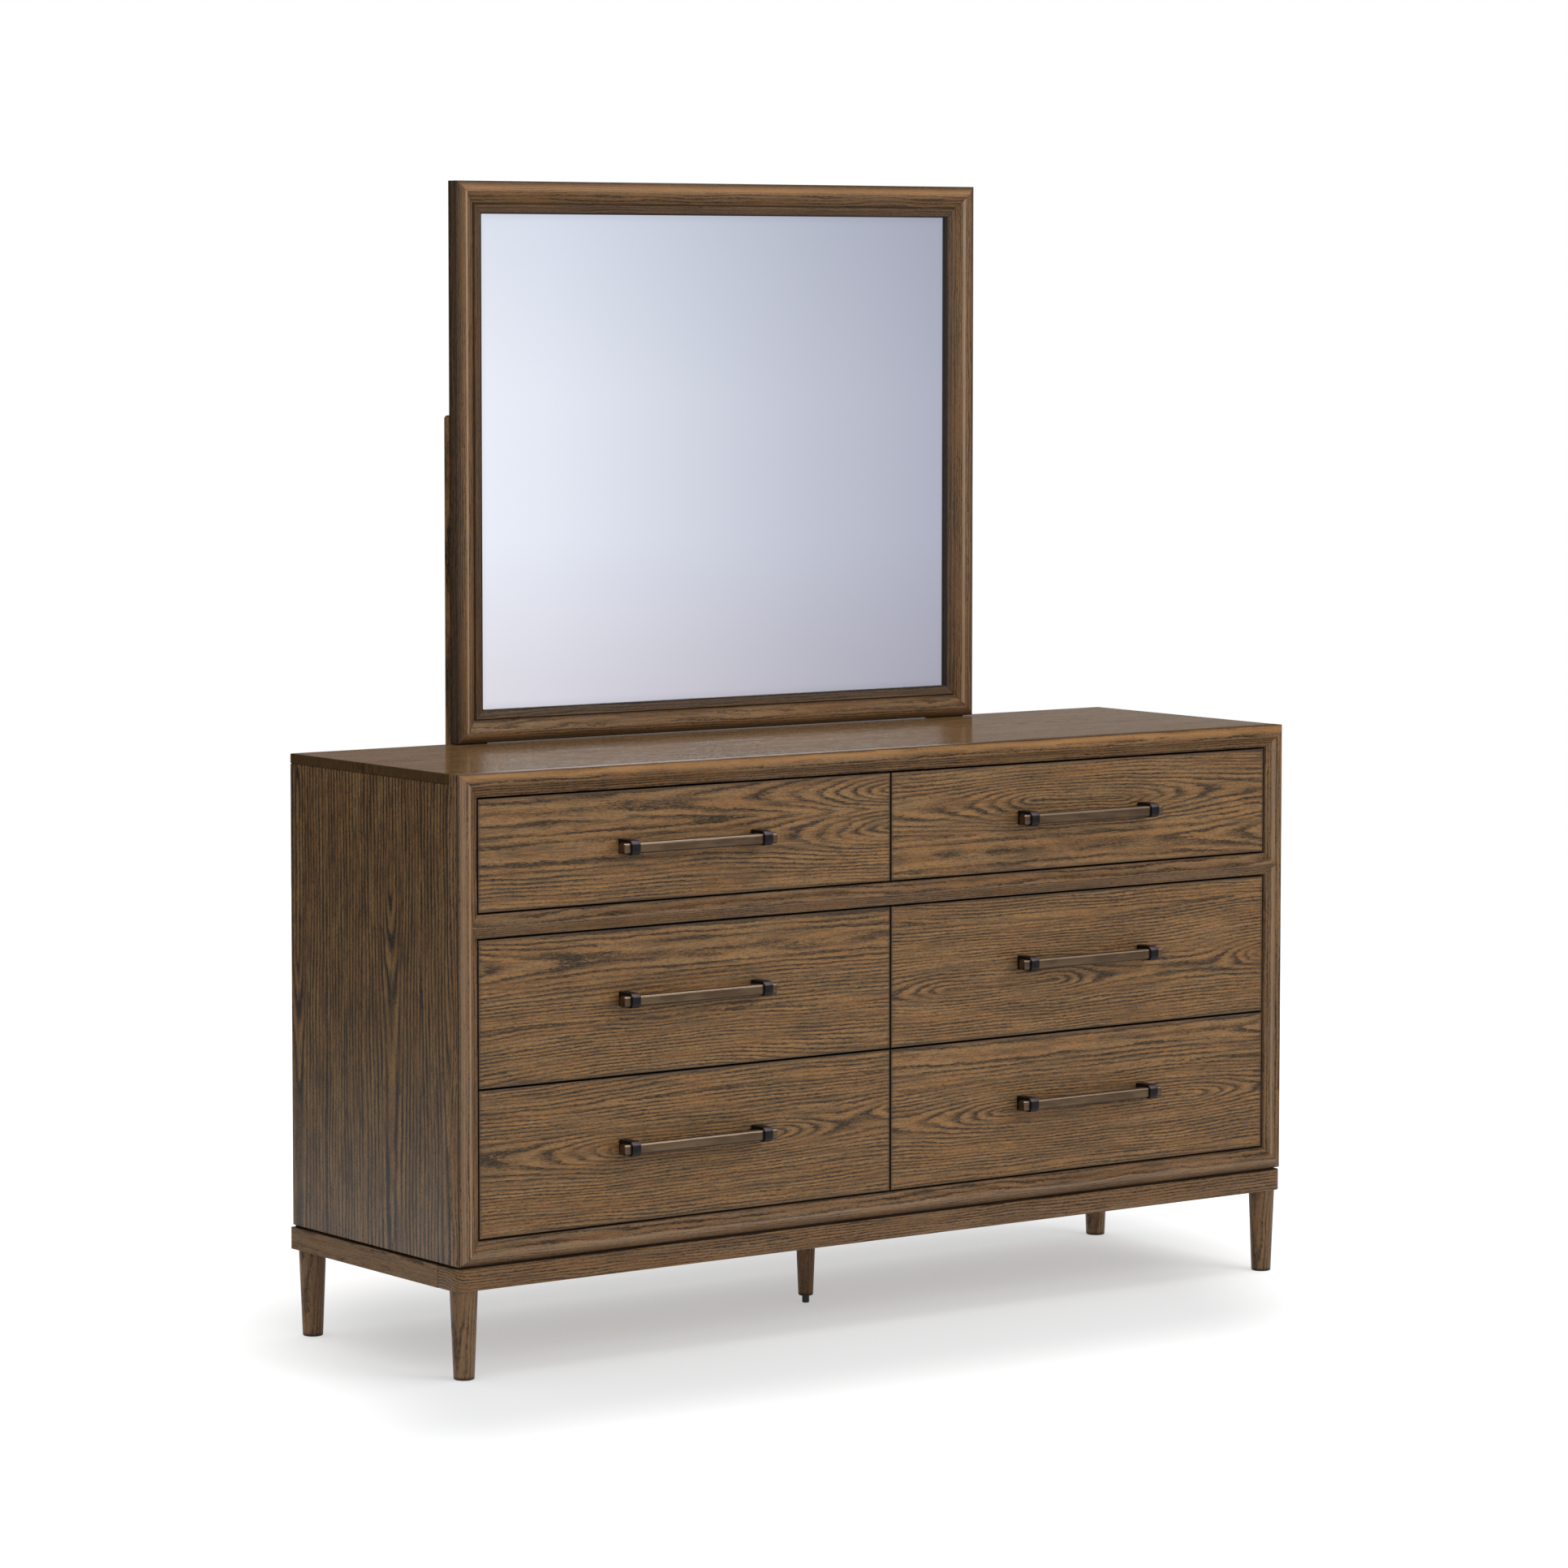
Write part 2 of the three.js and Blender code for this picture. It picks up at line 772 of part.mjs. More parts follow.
function addDrawers() {
  for (const { name: column, sign } of columns) {
    for (const row of rows) {
      const prefix = `${row.name}_${column}`;
      const drawer = new THREE.Group();
      drawer.position.set(sign * column_centre, 0, row.bottom);
      addPart(`${prefix}_drawer_front`, drawerFront(row.height), oak_veneer, drawer);
      addPart(`${prefix}_drawer_box`, drawerBox(row.height), drawer_lining, drawer);
      const pull = new THREE.Group();
      pull.position.set(0, 0, row.height / 2 + row.pull_rise);
      addPart(`${prefix}_pull_bar`, pullBar(), antique_bronze, pull);
      for (const { name: end, sign: end_sign } of columns) {
        const bracket = pullBracket().translate((end_sign * bracket_spacing) / 2, 0, 0);
        addPart(`${prefix}_pull_bracket_${end}`, bracket, black_iron, pull);
      }
      drawer.add(pull);
      dresser.add(drawer);
    }
  }
}

// Mirror
const mirror_half = mirror_width / 2;
const mirror_bottom = case_top + mirror_lift;
const mirror_top = mirror_bottom + mirror_height;
const mirror_mid = (mirror_bottom + mirror_top) / 2;
const mirror_frame_width = mirror_groove_inset + mirror_groove_width + mirror_lip_width;
const rebate_edge = mirror_frame_width - mirror_rebate_width;
const mirror_front = case_back - mirror_crown_depth;
const glass_front = case_back - mirror_rebate_depth;
const glass_back = glass_front + glass_thickness;

// A cushion outside, a sharp groove, and a lip that slopes down to the glass over its rebate
const mirror_section = [
  [0, 0],
  ...cushion(
    mirror_groove_inset,
    mirror_crown_inset,
    mirror_side_depth,
    mirror_crown_depth,
    mirror_groove_depth,
  ),
  [mirror_groove_inset + mirror_groove_width, mirror_lip_outer_depth],
  [mirror_frame_width, mirror_lip_inner_depth],
  [mirror_frame_width, mirror_rebate_depth],
  [rebate_edge, mirror_rebate_depth],
  [rebate_edge, 0],
];

function addMirrorUpright(name, sign, across) {
  const inner = mirror_half - mirror_frame_width;
  const view = [
    [sign * mirror_half, mirror_bottom],
    [sign * mirror_half, mirror_top],
    [sign * inner, mirror_top - mirror_frame_width],
    [sign * inner, mirror_bottom + mirror_frame_width],
  ];
  const member = moulding(
    mirror_section,
    across,
    mirror_height,
    sign * mirror_half,
    case_back,
    mirror_mid,
  );
  addPart(name, cutToFrontView(member, view, case_back, mirror_front), oak_moulding);
}

function addMirrorRail(name, across, outer_z, inner_z) {
  const outer = mirror_half - mitre_shift;
  const inner = outer - mirror_frame_width;
  const view = [
    [-outer, outer_z],
    [outer, outer_z],
    [inner, inner_z],
    [-inner, inner_z],
  ];
  const member = moulding(mirror_section, across, mirror_width, 0, case_back, outer_z);
  addPart(name, cutToFrontView(member, view, case_back, mirror_front), oak_moulding);
}

function addMirror() {
  addMirrorUpright('mirror_frame_left', -1, right);
  addMirrorUpright('mirror_frame_right', 1, left);
  addMirrorRail('mirror_frame_top', down, mirror_top, mirror_top - mirror_frame_width);
  addMirrorRail('mirror_frame_bottom', up, mirror_bottom, mirror_bottom + mirror_frame_width);
  const inset = rebate_edge + glass_edge_clearance;
  const half = mirror_half - inset;
  const low = mirror_bottom + inset;
  const high = mirror_top - inset;
  const backing_back = glass_back + backing_thickness;
  addPart('mirror_glass', block(-half, half, glass_front, glass_back, low, high), silvered_glass);
  addPart('mirror_backing', block(-half, half, glass_back, backing_back, low, high), hardboard);
}

function addPosts() {
  const outer = mirror_half - post_side_inset;
  const inner = outer - post_width;
  const foot = case_top - post_below_top;
  const head = case_top + post_above_top;
  for (const { name, sign } of columns) {
    const x0 = Math.min(sign * inner, sign * outer);
    const view = new THREE.Shape();
    view.moveTo(x0, foot);
    view.lineTo(x0 + post_width, foot);
    view.absarc(
      x0 + post_width - post_corner_radius,
      head - post_corner_radius,
      post_corner_radius,
      0,
      Math.PI / 2,
    );
    view.absarc(
      x0 + post_corner_radius,
      head - post_corner_radius,
      post_corner_radius,
      Math.PI / 2,
      Math.PI,
    );
    const post = runForward(view, case_back + post_thickness, case_back);
    addPart(`mirror_post_${name}`, post, oak_side);
  }
}

addBase();
addLegs();
addCentreLeg();
addCase();
addDrawers();
addMirror();
addPosts();

// The origin is under the middle of the whole piece, pulls and posts included
const reach_front = drawer_face - bracket_depth;
const reach_back = case_back + post_thickness;
dresser.position.y = -(reach_front + reach_back) / 2;

export default dresser;
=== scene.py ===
"""The looks of a dresser with a mirror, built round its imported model.

Lengths in the classes are millimetres in the maker's frame, whose y is 0 at the middle of the
base. Mesh code turns them into metres in the model's own frame.
"""

import logging
import math
from collections.abc import Callable, Iterable, Sequence
from dataclasses import dataclass, replace
from enum import Enum
from typing import Any

import bpy
import numpy as np
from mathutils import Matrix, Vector


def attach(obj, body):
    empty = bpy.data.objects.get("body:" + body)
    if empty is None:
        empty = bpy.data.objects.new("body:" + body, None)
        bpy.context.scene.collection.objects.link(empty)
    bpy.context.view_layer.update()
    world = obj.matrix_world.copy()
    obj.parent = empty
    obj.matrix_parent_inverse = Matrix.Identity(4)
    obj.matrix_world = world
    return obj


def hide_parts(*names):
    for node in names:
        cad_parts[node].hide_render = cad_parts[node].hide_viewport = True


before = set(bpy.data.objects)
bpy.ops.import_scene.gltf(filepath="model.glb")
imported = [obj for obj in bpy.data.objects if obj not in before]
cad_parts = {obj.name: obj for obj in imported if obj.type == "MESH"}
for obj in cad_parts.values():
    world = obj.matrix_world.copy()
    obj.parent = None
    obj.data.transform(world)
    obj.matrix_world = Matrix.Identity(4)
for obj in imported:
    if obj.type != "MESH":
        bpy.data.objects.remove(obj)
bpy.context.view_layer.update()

METRE = 0.001
ROW_SHIFT = 7.425
SHARP_ANGLE = math.radians(38)
CORNER_TURN = math.radians(30)
INNER_FULLNESS = 1.35
WELD_METRES = 1e-5
HAIR = 1e-6
MITRE_GAP = 0.3 * math.sqrt(2)
# The edge distances that mark a moulding's outer and inner side faces.
OUTER_FACE = -12.0
INNER_FACE = 70.0
# The eye of a heart beside which the grain of any board runs straight.
STRAIGHT = 3000.0
log = logging.getLogger("dresser")

Pair = tuple[float, float]
Triple = tuple[float, float, float]
Colour = Triple
Inputs = dict[Any, Any]


def grey(value: float) -> Colour:
    """A grey of this linear value."""
    return (value,) * 3


def shade(red: float, green: float, blue: float) -> Colour:
    """A colour given as display values from 0 to 255, as linear light.

    Args:
        red, green, blue: the display values.

    Returns:
        The three linear values.
    """
    parts = np.array([red, green, blue]) / 255
    low, high = parts / 12.92, ((parts + 0.055) / 1.055) ** 2.4
    return tuple(float(c) for c in np.where(parts <= 0.04045, low, high))


# Shader graphs


def operation(name: str) -> Callable[..., "Wire"]:
    """Makes a method of Wire that adds a Math node.

    Args:
        name: the node's operation. Its first input is the wire that the method is called on.

    Returns:
        The method.
    """
    def method(self: "Wire", *others: Any) -> "Wire":
        """Adds the node and returns its wire."""
        return self.graph.maths(name, self, *others)

    return method


class Wire:
    """One shader socket. Arithmetic on it adds Math nodes.

    `least` and `most` are the smaller and the larger of two, `blended_least` the smaller with a
    smooth passage, `above` is 1 over a threshold and else 0, and `turn` is the fraction of self,
    which runs from 0 to 1 and starts again.
    """

    __add__ = __radd__ = operation("ADD")
    __sub__ = operation("SUBTRACT")
    __mul__ = __rmul__ = operation("MULTIPLY")
    __truediv__ = operation("DIVIDE")
    __abs__ = operation("ABSOLUTE")
    least = operation("MINIMUM")
    blended_least = operation("SMOOTH_MIN")
    most = operation("MAXIMUM")
    above = operation("GREATER_THAN")
    turn = operation("FRACT")
    tanh = operation("TANH")
    arcsine = operation("ARCSINE")

    def __init__(self, graph: "Graph", socket: Any) -> None:
        """Keeps the graph and its socket."""
        self.graph = graph
        self.socket = socket

    def __rsub__(self, other: Any) -> "Wire":
        """other - self."""
        return self.graph.maths("SUBTRACT", other, self)

    def rise(self, start: Any, end: Any) -> "Wire":
        """0 up to start, 1 from end on, and a smooth step between."""
        settings = {"interpolation_type": "SMOOTHSTEP"}
        inputs = {"Value": self, "From Min": start, "From Max": end}
        return self.graph.add("ShaderNodeMapRange", settings, inputs, "Result")

    def bell(self, centre: float, width: float) -> "Wire":
        """1 at the centre and falling smoothly to 0 at a width away from it."""
        return 1.0 - abs(self - centre).rise(0.0, width)


class Graph:
    """A node tree under construction: of a new material, or of the world."""

    def __init__(self, owner: Any) -> None:
        """Takes a material or world and empties its tree."""
        owner.use_nodes = True
        self.owner = owner
        self.tree = owner.node_tree
        self.tree.nodes.clear()

    @classmethod
    def material(cls, name: str) -> "Graph":
        """Starts a new material of this name."""
        return cls(bpy.data.materials.new(name))

    def node(self, kind: str, settings: dict[str, Any], inputs: Inputs) -> Any:
        """Adds a node.

        Args:
            kind: the node's type name.
            settings: its own settings, set first; "stops" gives a colour ramp's stops.
            inputs: a value or wire for each named or numbered input socket.

        Returns:
            The node.
        """
        made = self.tree.nodes.new(kind)
        for name, value in settings.items():
            if name == "stops":
                self._fill_ramp(made.color_ramp, value)
            else:
                setattr(made, name, value)
        for name, value in inputs.items():
            if isinstance(value, Wire):
                self.tree.links.new(value.socket, made.inputs[name])
            else:
                made.inputs[name].default_value = value
        return made

    @staticmethod
    def _fill_ramp(ramp: Any, stops: Sequence[tuple[float, Colour]]) -> None:
        """Gives a ramp these stops of position and colour."""
        while len(ramp.elements) > 1:
            ramp.elements.remove(ramp.elements[-1])
        for index, (position, colour) in enumerate(stops):
            element = ramp.elements[0] if index == 0 else ramp.elements.new(position)
            element.position = position
            element.color = (*colour, 1.0)

    def add(self, kind: str, settings: dict[str, Any], inputs: Inputs, out: Any = 0) -> Wire:
        """Adds a node as node() does and returns one of its outputs as a wire."""
        return Wire(self, self.node(kind, settings, inputs).outputs[out])

    def maths(self, operation: str, *values: Any) -> Wire:
        """Adds a Math node with these values in order."""
        return self.add("ShaderNodeMath", {"operation": operation}, dict(enumerate(values)))

    def vector(self, operation: str, *values: Any, out: str = "Vector", **named: Any) -> Wire:
        """Adds a Vector Math node with these values in order."""
        inputs = {**dict(enumerate(values)), **named}
        return self.add("ShaderNodeVectorMath", {"operation": operation}, inputs, out)

    def combined(self, x: Any, y: Any, z: Any) -> Wire:
        """The vector of three numbers."""
        return self.add("ShaderNodeCombineXYZ", {}, {"X": x, "Y": y, "Z": z})

    def parts(self, vector: Wire) -> tuple[Wire, Wire, Wire]:
        """The three numbers of a vector."""
        made = self.node("ShaderNodeSeparateXYZ", {}, {"Vector": vector})
        return tuple(Wire(self, socket) for socket in made.outputs)

    def place(self) -> Wire:
        """The point on the piece, in millimetres, from its Object coordinates."""
        point = self.add("ShaderNodeTexCoord", {}, {}, "Object")
        return self.vector("SCALE", point, Scale=1 / METRE)

    def noise(self, place: Wire, sizes: Triple, detail: float = 2.0, rough: float = 0.5,
              seed: float = 0.0, out: str = "Fac") -> Wire:
        """Smooth noise about 0.5.

        Args:
            place: the point in millimetres.
            sizes: the size of a blob along each of the three axes, in millimetres.
            detail, rough: how many finer layers it has, and how strong they are.
            seed: a number that moves the pattern.
            out: Fac for a number or Color for three.

        Returns:
            The noise's wire.
        """
        inputs = {"Vector": place, "Scale": tuple(1 / s for s in sizes), "Location": (seed,) * 3}
        scaled = self.add("ShaderNodeMapping", {}, inputs)
        inputs = {"Vector": scaled, "Scale": 1.0, "Detail": detail, "Roughness": rough}
        return self.add("ShaderNodeTexNoise", {}, inputs, out)

    def mixed(self, share: Any, first: Any, second: Any, blend: str = "MIX") -> Wire:
        """Goes from the first colour to the second by a share from 0 to 1."""
        settings = {"data_type": "RGBA", "blend_type": blend}
        ends = [(*c, 1.0) if isinstance(c, tuple) else c for c in (first, second)]
        return self.add("ShaderNodeMix", settings, {0: share, 6: ends[0], 7: ends[1]}, 2)

    def coats(self, base: Wire | Colour, *coats: tuple[Any, Colour]) -> Wire | Colour:
        """Lays colours over a base, one after another.

        Args:
            base: the colour below them, as a wire or as display values.
            coats: for each its share from 0 to 1, and its display values.

        Returns:
            The colour on top.
        """
        colour = shade(*base) if isinstance(base, tuple) else base
        for share, tone in coats:
            colour = self.mixed(share, colour, shade(*tone))
        return colour

    def attribute(self, name: str) -> Wire:
        """A number that the mesh carries at its points."""
        return self.add("ShaderNodeAttribute", {"attribute_name": name}, {}, "Fac")

    def rays(self) -> tuple[Wire, Wire]:
        """1 for a ray from the camera, and 1 for a glossy ray."""
        path = self.node("ShaderNodeLightPath", {}, {})
        return tuple(Wire(self, path.outputs[f"Is {kind} Ray"]) for kind in ("Camera", "Glossy"))

    def bump(self, height: Wire, depth: float, strength: float) -> Wire:
        """A bumped normal, whose height 1 stands `depth` millimetres out."""
        inputs = {"Height": height, "Distance": depth * METRE, "Strength": strength}
        return self.add("ShaderNodeBump", {}, inputs, "Normal")

    def finished(self, inputs: dict[str, Any]) -> bpy.types.Material:
        """Ends a material in a Principled shader with these inputs and returns it."""
        shader = self.add("ShaderNodeBsdfPrincipled", {}, inputs, "BSDF")
        self.node("ShaderNodeOutputMaterial", {}, {"Surface": shader})
        return self.owner


# Finishes


class Finish:
    """A surface finish. Each kind names its material and works out its shader's inputs."""

    name: str

    def inputs(self, graph: Graph, place: Wire) -> Inputs:
        """The shader's inputs at a point of the piece."""
        raise NotImplementedError

    def material(self) -> bpy.types.Material:
        """Builds the material and returns it."""
        graph = Graph.material(self.name)
        return graph.finished(self.inputs(graph, graph.place()))


class Grain(Enum):
    """Which way a board's grain runs. The value orders x, y and z as along, across and depth."""

    ACROSS_FRONT = (0, 2, 1)
    ACROSS_TOP = (0, 1, 2)
    UP_FRONT = (2, 0, 1)
    UP_SIDE = (2, 1, 0)
    ALONG_SIDE = (1, 2, 0)


@dataclass(frozen=True)
class Heart:
    """The heart of a cathedral figure: a long eye with nested tips at both its ends.

    Rings lie at equal distances from it, where a step along the grain counts `slope` of a step
    across, so the tips are sharp and far apart and the flanks are long and close. The tips end
    about a `run` beyond the eye, and from there on the grain is straight.
    """

    along: float
    across: float
    eye: float = 0.0
    slope: float = 0.2
    run: float = 260.0
    lead: float = 0.0


@dataclass(frozen=True)
class Stain:
    """The colours of a stained oak, as display values."""

    body: Colour
    light: Colour
    warm: Colour
    dark: Colour
    pore: Colour
    shade: Colour = (104, 84, 74)


@dataclass(frozen=True)
class HighlightShadeBand:
    """A band along a moulding, by the distance in from its edge: a painted highlight, partly rub
    wear, in its tone, or a band of painted shade, which has no tone of its own."""

    centre: float
    width: float
    strength: float
    tone: Colour = (162, 138, 114)


BROWN = Stain((119, 92, 60), (147, 116, 76), (147, 104, 59), (82, 64, 43), (50, 40, 30))
DEEP = Stain((97, 71, 38), (138, 108, 62), (121, 84, 42), (53, 38, 21), (26, 18, 10), (90, 66, 53))
MOULD = Stain((112, 85, 56), (133, 106, 76), (134, 95, 56), (77, 57, 36), (38, 28, 19))
LEG = Stain((108, 83, 57), (129, 103, 75), (125, 92, 58), (75, 57, 38), (38, 29, 20))
FRONT = Stain((121, 93, 61), (153, 120, 79), (150, 106, 60), (82, 64, 43), (50, 40, 30))
# The next two: a front's glaze together with painted shade near its edges, and painted shade on its
# edge faces in the gap.
RIM_GLAZE_AND_SHADE = (66, 56, 46)
GAP_FACE_SHADE = (50, 38, 27)
# The next two are painted shade: in a moulding's grooves, gaps and side faces, and in recesses such
# as an opening's inner faces, the groove under the case and the legs' feet; the second also colours
# joint lines.
HOLLOW_SHADE_TONE = (40, 30, 22)
RECESS_SHADE_AND_JOINT_TONE = (26, 18, 12)
LINING_TONE = (176, 148, 112)
TOP_END_TONE = (46, 33, 20)


@dataclass(frozen=True)
class Layer:
    """A layer of a wood's noise, in the directions along, across and into the board.

    Its sizes are those of its blobs in millimetres. `stretches` and `widens` say whether the
    board's `run` and `coarse` scale the first two.
    """

    sizes: Triple
    seed: float
    detail: float = 2.0
    rough: float = 0.5
    stretches: bool = False
    widens: bool = False


SWAY = Layer((260, 60, 90), 0, rough=0.4)
JAG = Layer((11, 1.5, 3), 7, rough=0.6)
RIPPLE = Layer((60, 8, 10), 3)
STRENGTH = Layer((150, 22, 30), 11, detail=1.0)
VESSEL = Layer((8, 0.95, 1.4), 13, rough=0.6, stretches=True, widens=True)
STREAK = Layer((4.5, 0.6, 0.8), 5, 3.0, 0.62, True, True)
LONG_STREAK = Layer((50, 2.4, 3), 19, 3.0, 0.6, True, True)
BAND = Layer((200, 10, 20), 41, stretches=True, widens=True)
PATCH = Layer((170, 26, 60), 23)
TINT = Layer((16, 4, 6), 37, rough=0.6, stretches=True)
SPECK = Layer((5.5, 1.2, 2), 31, rough=0.6, stretches=True, widens=True)


@dataclass(frozen=True)
class Oak(Finish):
    """Stained open-pored oak under satin lacquer.

    Places are millimetres in the model's own frame. `rim` is a front's outline as x and z, near
    which glaze and painted shade darken it, `dark_beyond` an |x| past which the wood darkens, the
    shaded heights two heights past which painted shade darkens it, `seam_at` the y of a joint,
    and `lining_from` the |x| below which a panel shows the lining's wood.
    """

    name: str
    grain: Grain
    hearts: tuple[Heart, ...]
    stain: Stain = BROWN
    spacing: float = 5.5
    seed: float = 0.0
    depth_centre: float | None = None
    rim: tuple[Pair, Pair] | None = None
    # Bands of painted highlight, partly rub wear, along a moulding.
    rubs_and_highlights: tuple[HighlightShadeBand, ...] = ()
    # Bands of painted shade along a moulding.
    shade_bands: tuple[HighlightShadeBand, ...] = ()
    gloss: float = 0.4
    specular: float = 0.23
    contrast: float = 1.0
    coarse: float = 1.0
    run: float = 1.0
    relief: float = 0.14
    lining_from: float | None = None
    dark_beyond: float | None = None
    shaded_heights: Pair | None = None
    seam_at: float | None = None
    seam_width: float = 1.7
    sway_along: float = 50.0
    sway_across: float = 16.0
    heart_merge: float = 14.0

    def layer(self, graph: Graph, board: Wire, layer: Layer, out: str = "Fac") -> Wire:
        """One layer of noise at this board's scale and seed."""
        along, across, deep = layer.sizes
        along *= self.run if layer.stretches else 1
        across *= self.coarse if layer.widens else 1
        return graph.noise(board, (along, across, deep), layer.detail, layer.rough,
                           self.seed + layer.seed, out)

    def distance(self, graph: Graph, along: Wire, across: Wire, depth: Wire) -> Wire:
        """Distance from the nearest heart, merged smoothly where two of them meet."""
        nearest: Wire | None = None
        deep = 0.0 if self.depth_centre is None else depth - self.depth_centre
        for heart in self.hearts:
            past = (abs(along - heart.along) - heart.eye).most(0.0) / heart.run
            past = past.tanh() * (heart.run * heart.slope)
            span = graph.combined(past, across - heart.across, deep)
            reach = graph.vector("LENGTH", span, out="Value") + heart.lead
            nearest = (reach if nearest is None
                       else nearest.blended_least(reach, self.heart_merge))
        return nearest

    def glazed_and_shaded(self, graph: Graph, colour: Wire, x: Wire, z: Wire, uneven: Wire) -> Wire:
        """Darkens a front's outer millimetres, where the glaze is thicker, and paints shade there
        and on its edge faces, in the gap to the frame.
        """
        (left, bottom), (right, top) = self.rim
        side = abs(x - (left + right) / 2)
        end = abs(z - (bottom + top) / 2)
        inward = ((right - left) / 2 - side).least((top - bottom) / 2 - end)
        edge = 1.0 - (inward + (uneven - 0.5) * 4.0).rise(0.8, 6.5)
        return graph.coats(colour, (edge * 0.6, RIM_GLAZE_AND_SHADE),
                           (1.0 - inward.rise(0.2, 0.9), GAP_FACE_SHADE))

    def worn(self, graph: Graph, colour: Wire, inset: Wire, ripple: Wire, jag: Wire) -> Wire:
        """Paints highlights, partly rub wear, and shade on a moulding's faces, grooves and gaps."""
        rubs_and_highlights = [(inset.bell(rub.centre, rub.width) * (ripple * 0.7 + 0.65) * rub.strength,
                 rub.tone) for rub in self.rubs_and_highlights]
        shade_bands = [(inset.bell(hollow.centre, hollow.width) * (jag * 0.8 + 0.6) * hollow.strength,
                    HOLLOW_SHADE_TONE) for hollow in self.shade_bands]
        # Painted shade on the inner side faces round an opening.
        inner_edge_shade = (inset.rise(INNER_FACE - 10.0, INNER_FACE - 4.0), RECESS_SHADE_AND_JOINT_TONE)
        return graph.coats(colour, *rubs_and_highlights, *shade_bands, inner_edge_shade)

    def inputs(self, graph: Graph, place: Wire) -> Inputs:
        """The shader's inputs.

        Rings are the distance from the nearest heart over their spacing; the fraction of it is 0
        at the start of the early wood, whose vessels show as dark lines and pores.

        Args:
            graph: the material's graph.
            place: the point on the piece.

        Returns:
            The values and wires.
        """
        x, y, z = graph.parts(place)
        along, across, depth = ((x, y, z)[axis] for axis in self.grain.value)
        board = graph.combined(along, across, depth)
        sway = graph.parts(self.layer(graph, board, SWAY, "Color"))
        swayed_along = along + (sway[0] - 0.5) * self.sway_along
        swayed_across = across + (sway[1] - 0.5) * self.sway_across
        jag, ripple, strength, vessel, streak, long_streak, band, patch, tint, speck = (
            self.layer(graph, board, layer) for layer in (
                JAG, RIPPLE, STRENGTH, VESSEL, STREAK, LONG_STREAK, BAND, PATCH, TINT, SPECK))
        distance = self.distance(graph, swayed_along, swayed_across, depth)
        phase = ((distance + (jag - 0.5) * 3.0 + (ripple - 0.5) * 4.5) / self.spacing).turn()
        strength = strength.rise(0.3, 0.62)
        early = phase.rise(0.0, 0.14) * (1.0 - phase.rise(0.2, 0.66)) * (strength * 0.6 + 0.4)
        line = (vessel - (0.6 - early * 0.17)).rise(0.0, 0.12)
        pore = (streak - (0.56 - early * 0.08)).rise(0.0, 0.08)
        stain, strong = self.stain, self.contrast
        colour = graph.coats(
            stain.body,
            (patch.rise(0.4, 0.62) * 0.75, stain.warm),
            (band.rise(0.48, 0.66) * 0.65, stain.light),
            (band.rise(0.5, 0.34) * (0.4 * strong), stain.dark),
            (phase.bell(0.78, 0.2) * strength * 0.6, stain.light),
            (long_streak.rise(0.47, 0.64) * 0.7, stain.warm),
            (long_streak.rise(0.5, 0.34) * (0.48 * strong), stain.dark),
            (tint.rise(0.5, 0.66) * 0.4, stain.shade),
            (early * (0.75 * strong), stain.dark),
            (line * (early * 0.5 + 0.45) * strong, stain.pore),
            (pore * (early * 0.3 + 0.52) * strong, stain.pore),
            (speck.rise(0.55, 0.68) * (0.45 * strong), stain.pore),
        )
        rough = pore * 0.16 + (ripple - 0.5) * 0.1 + self.gloss
        # Glaze and painted shade near a front's edges.
        if self.rim:
            colour = self.glazed_and_shaded(graph, colour, x, z, ripple)
        # Painted highlights and painted shade along a moulding, by the distance in from its edge.
        if self.rubs_and_highlights or self.shade_bands:
            inset = graph.attribute("inset")
            colour = self.worn(graph, colour, inset, ripple, jag)
            if self.shade_bands:
                rough = rough - inset.rise(OUTER_FACE / 2, OUTER_FACE) * 0.3
        if self.lining_from is not None:
            colour = graph.coats(colour, (1.0 - abs(x).above(self.lining_from), LINING_TONE))
        if self.dark_beyond is not None:
            past = abs(x).rise(self.dark_beyond, self.dark_beyond + 1.5)
            colour = graph.coats(colour, (past * 0.8, TOP_END_TONE))
        # Painted shade past two heights: in the groove under the case, or a contact shadow over a
        # dark edge at a foot.
        if self.shaded_heights:
            colour = graph.coats(colour, (z.rise(*self.shaded_heights) * 0.85, RECESS_SHADE_AND_JOINT_TONE))
        if self.seam_at is not None:
            seam = y.bell(self.seam_at, self.seam_width)
            colour = graph.coats(colour, (seam * 0.85, RECESS_SHADE_AND_JOINT_TONE))
        return {
            "Base Color": colour,
            "Roughness": rough,
            "Specular IOR Level": self.specular,
            "Normal": graph.bump(1.0 - pore * 0.8 - early * 0.25, self.relief, 0.5),
        }


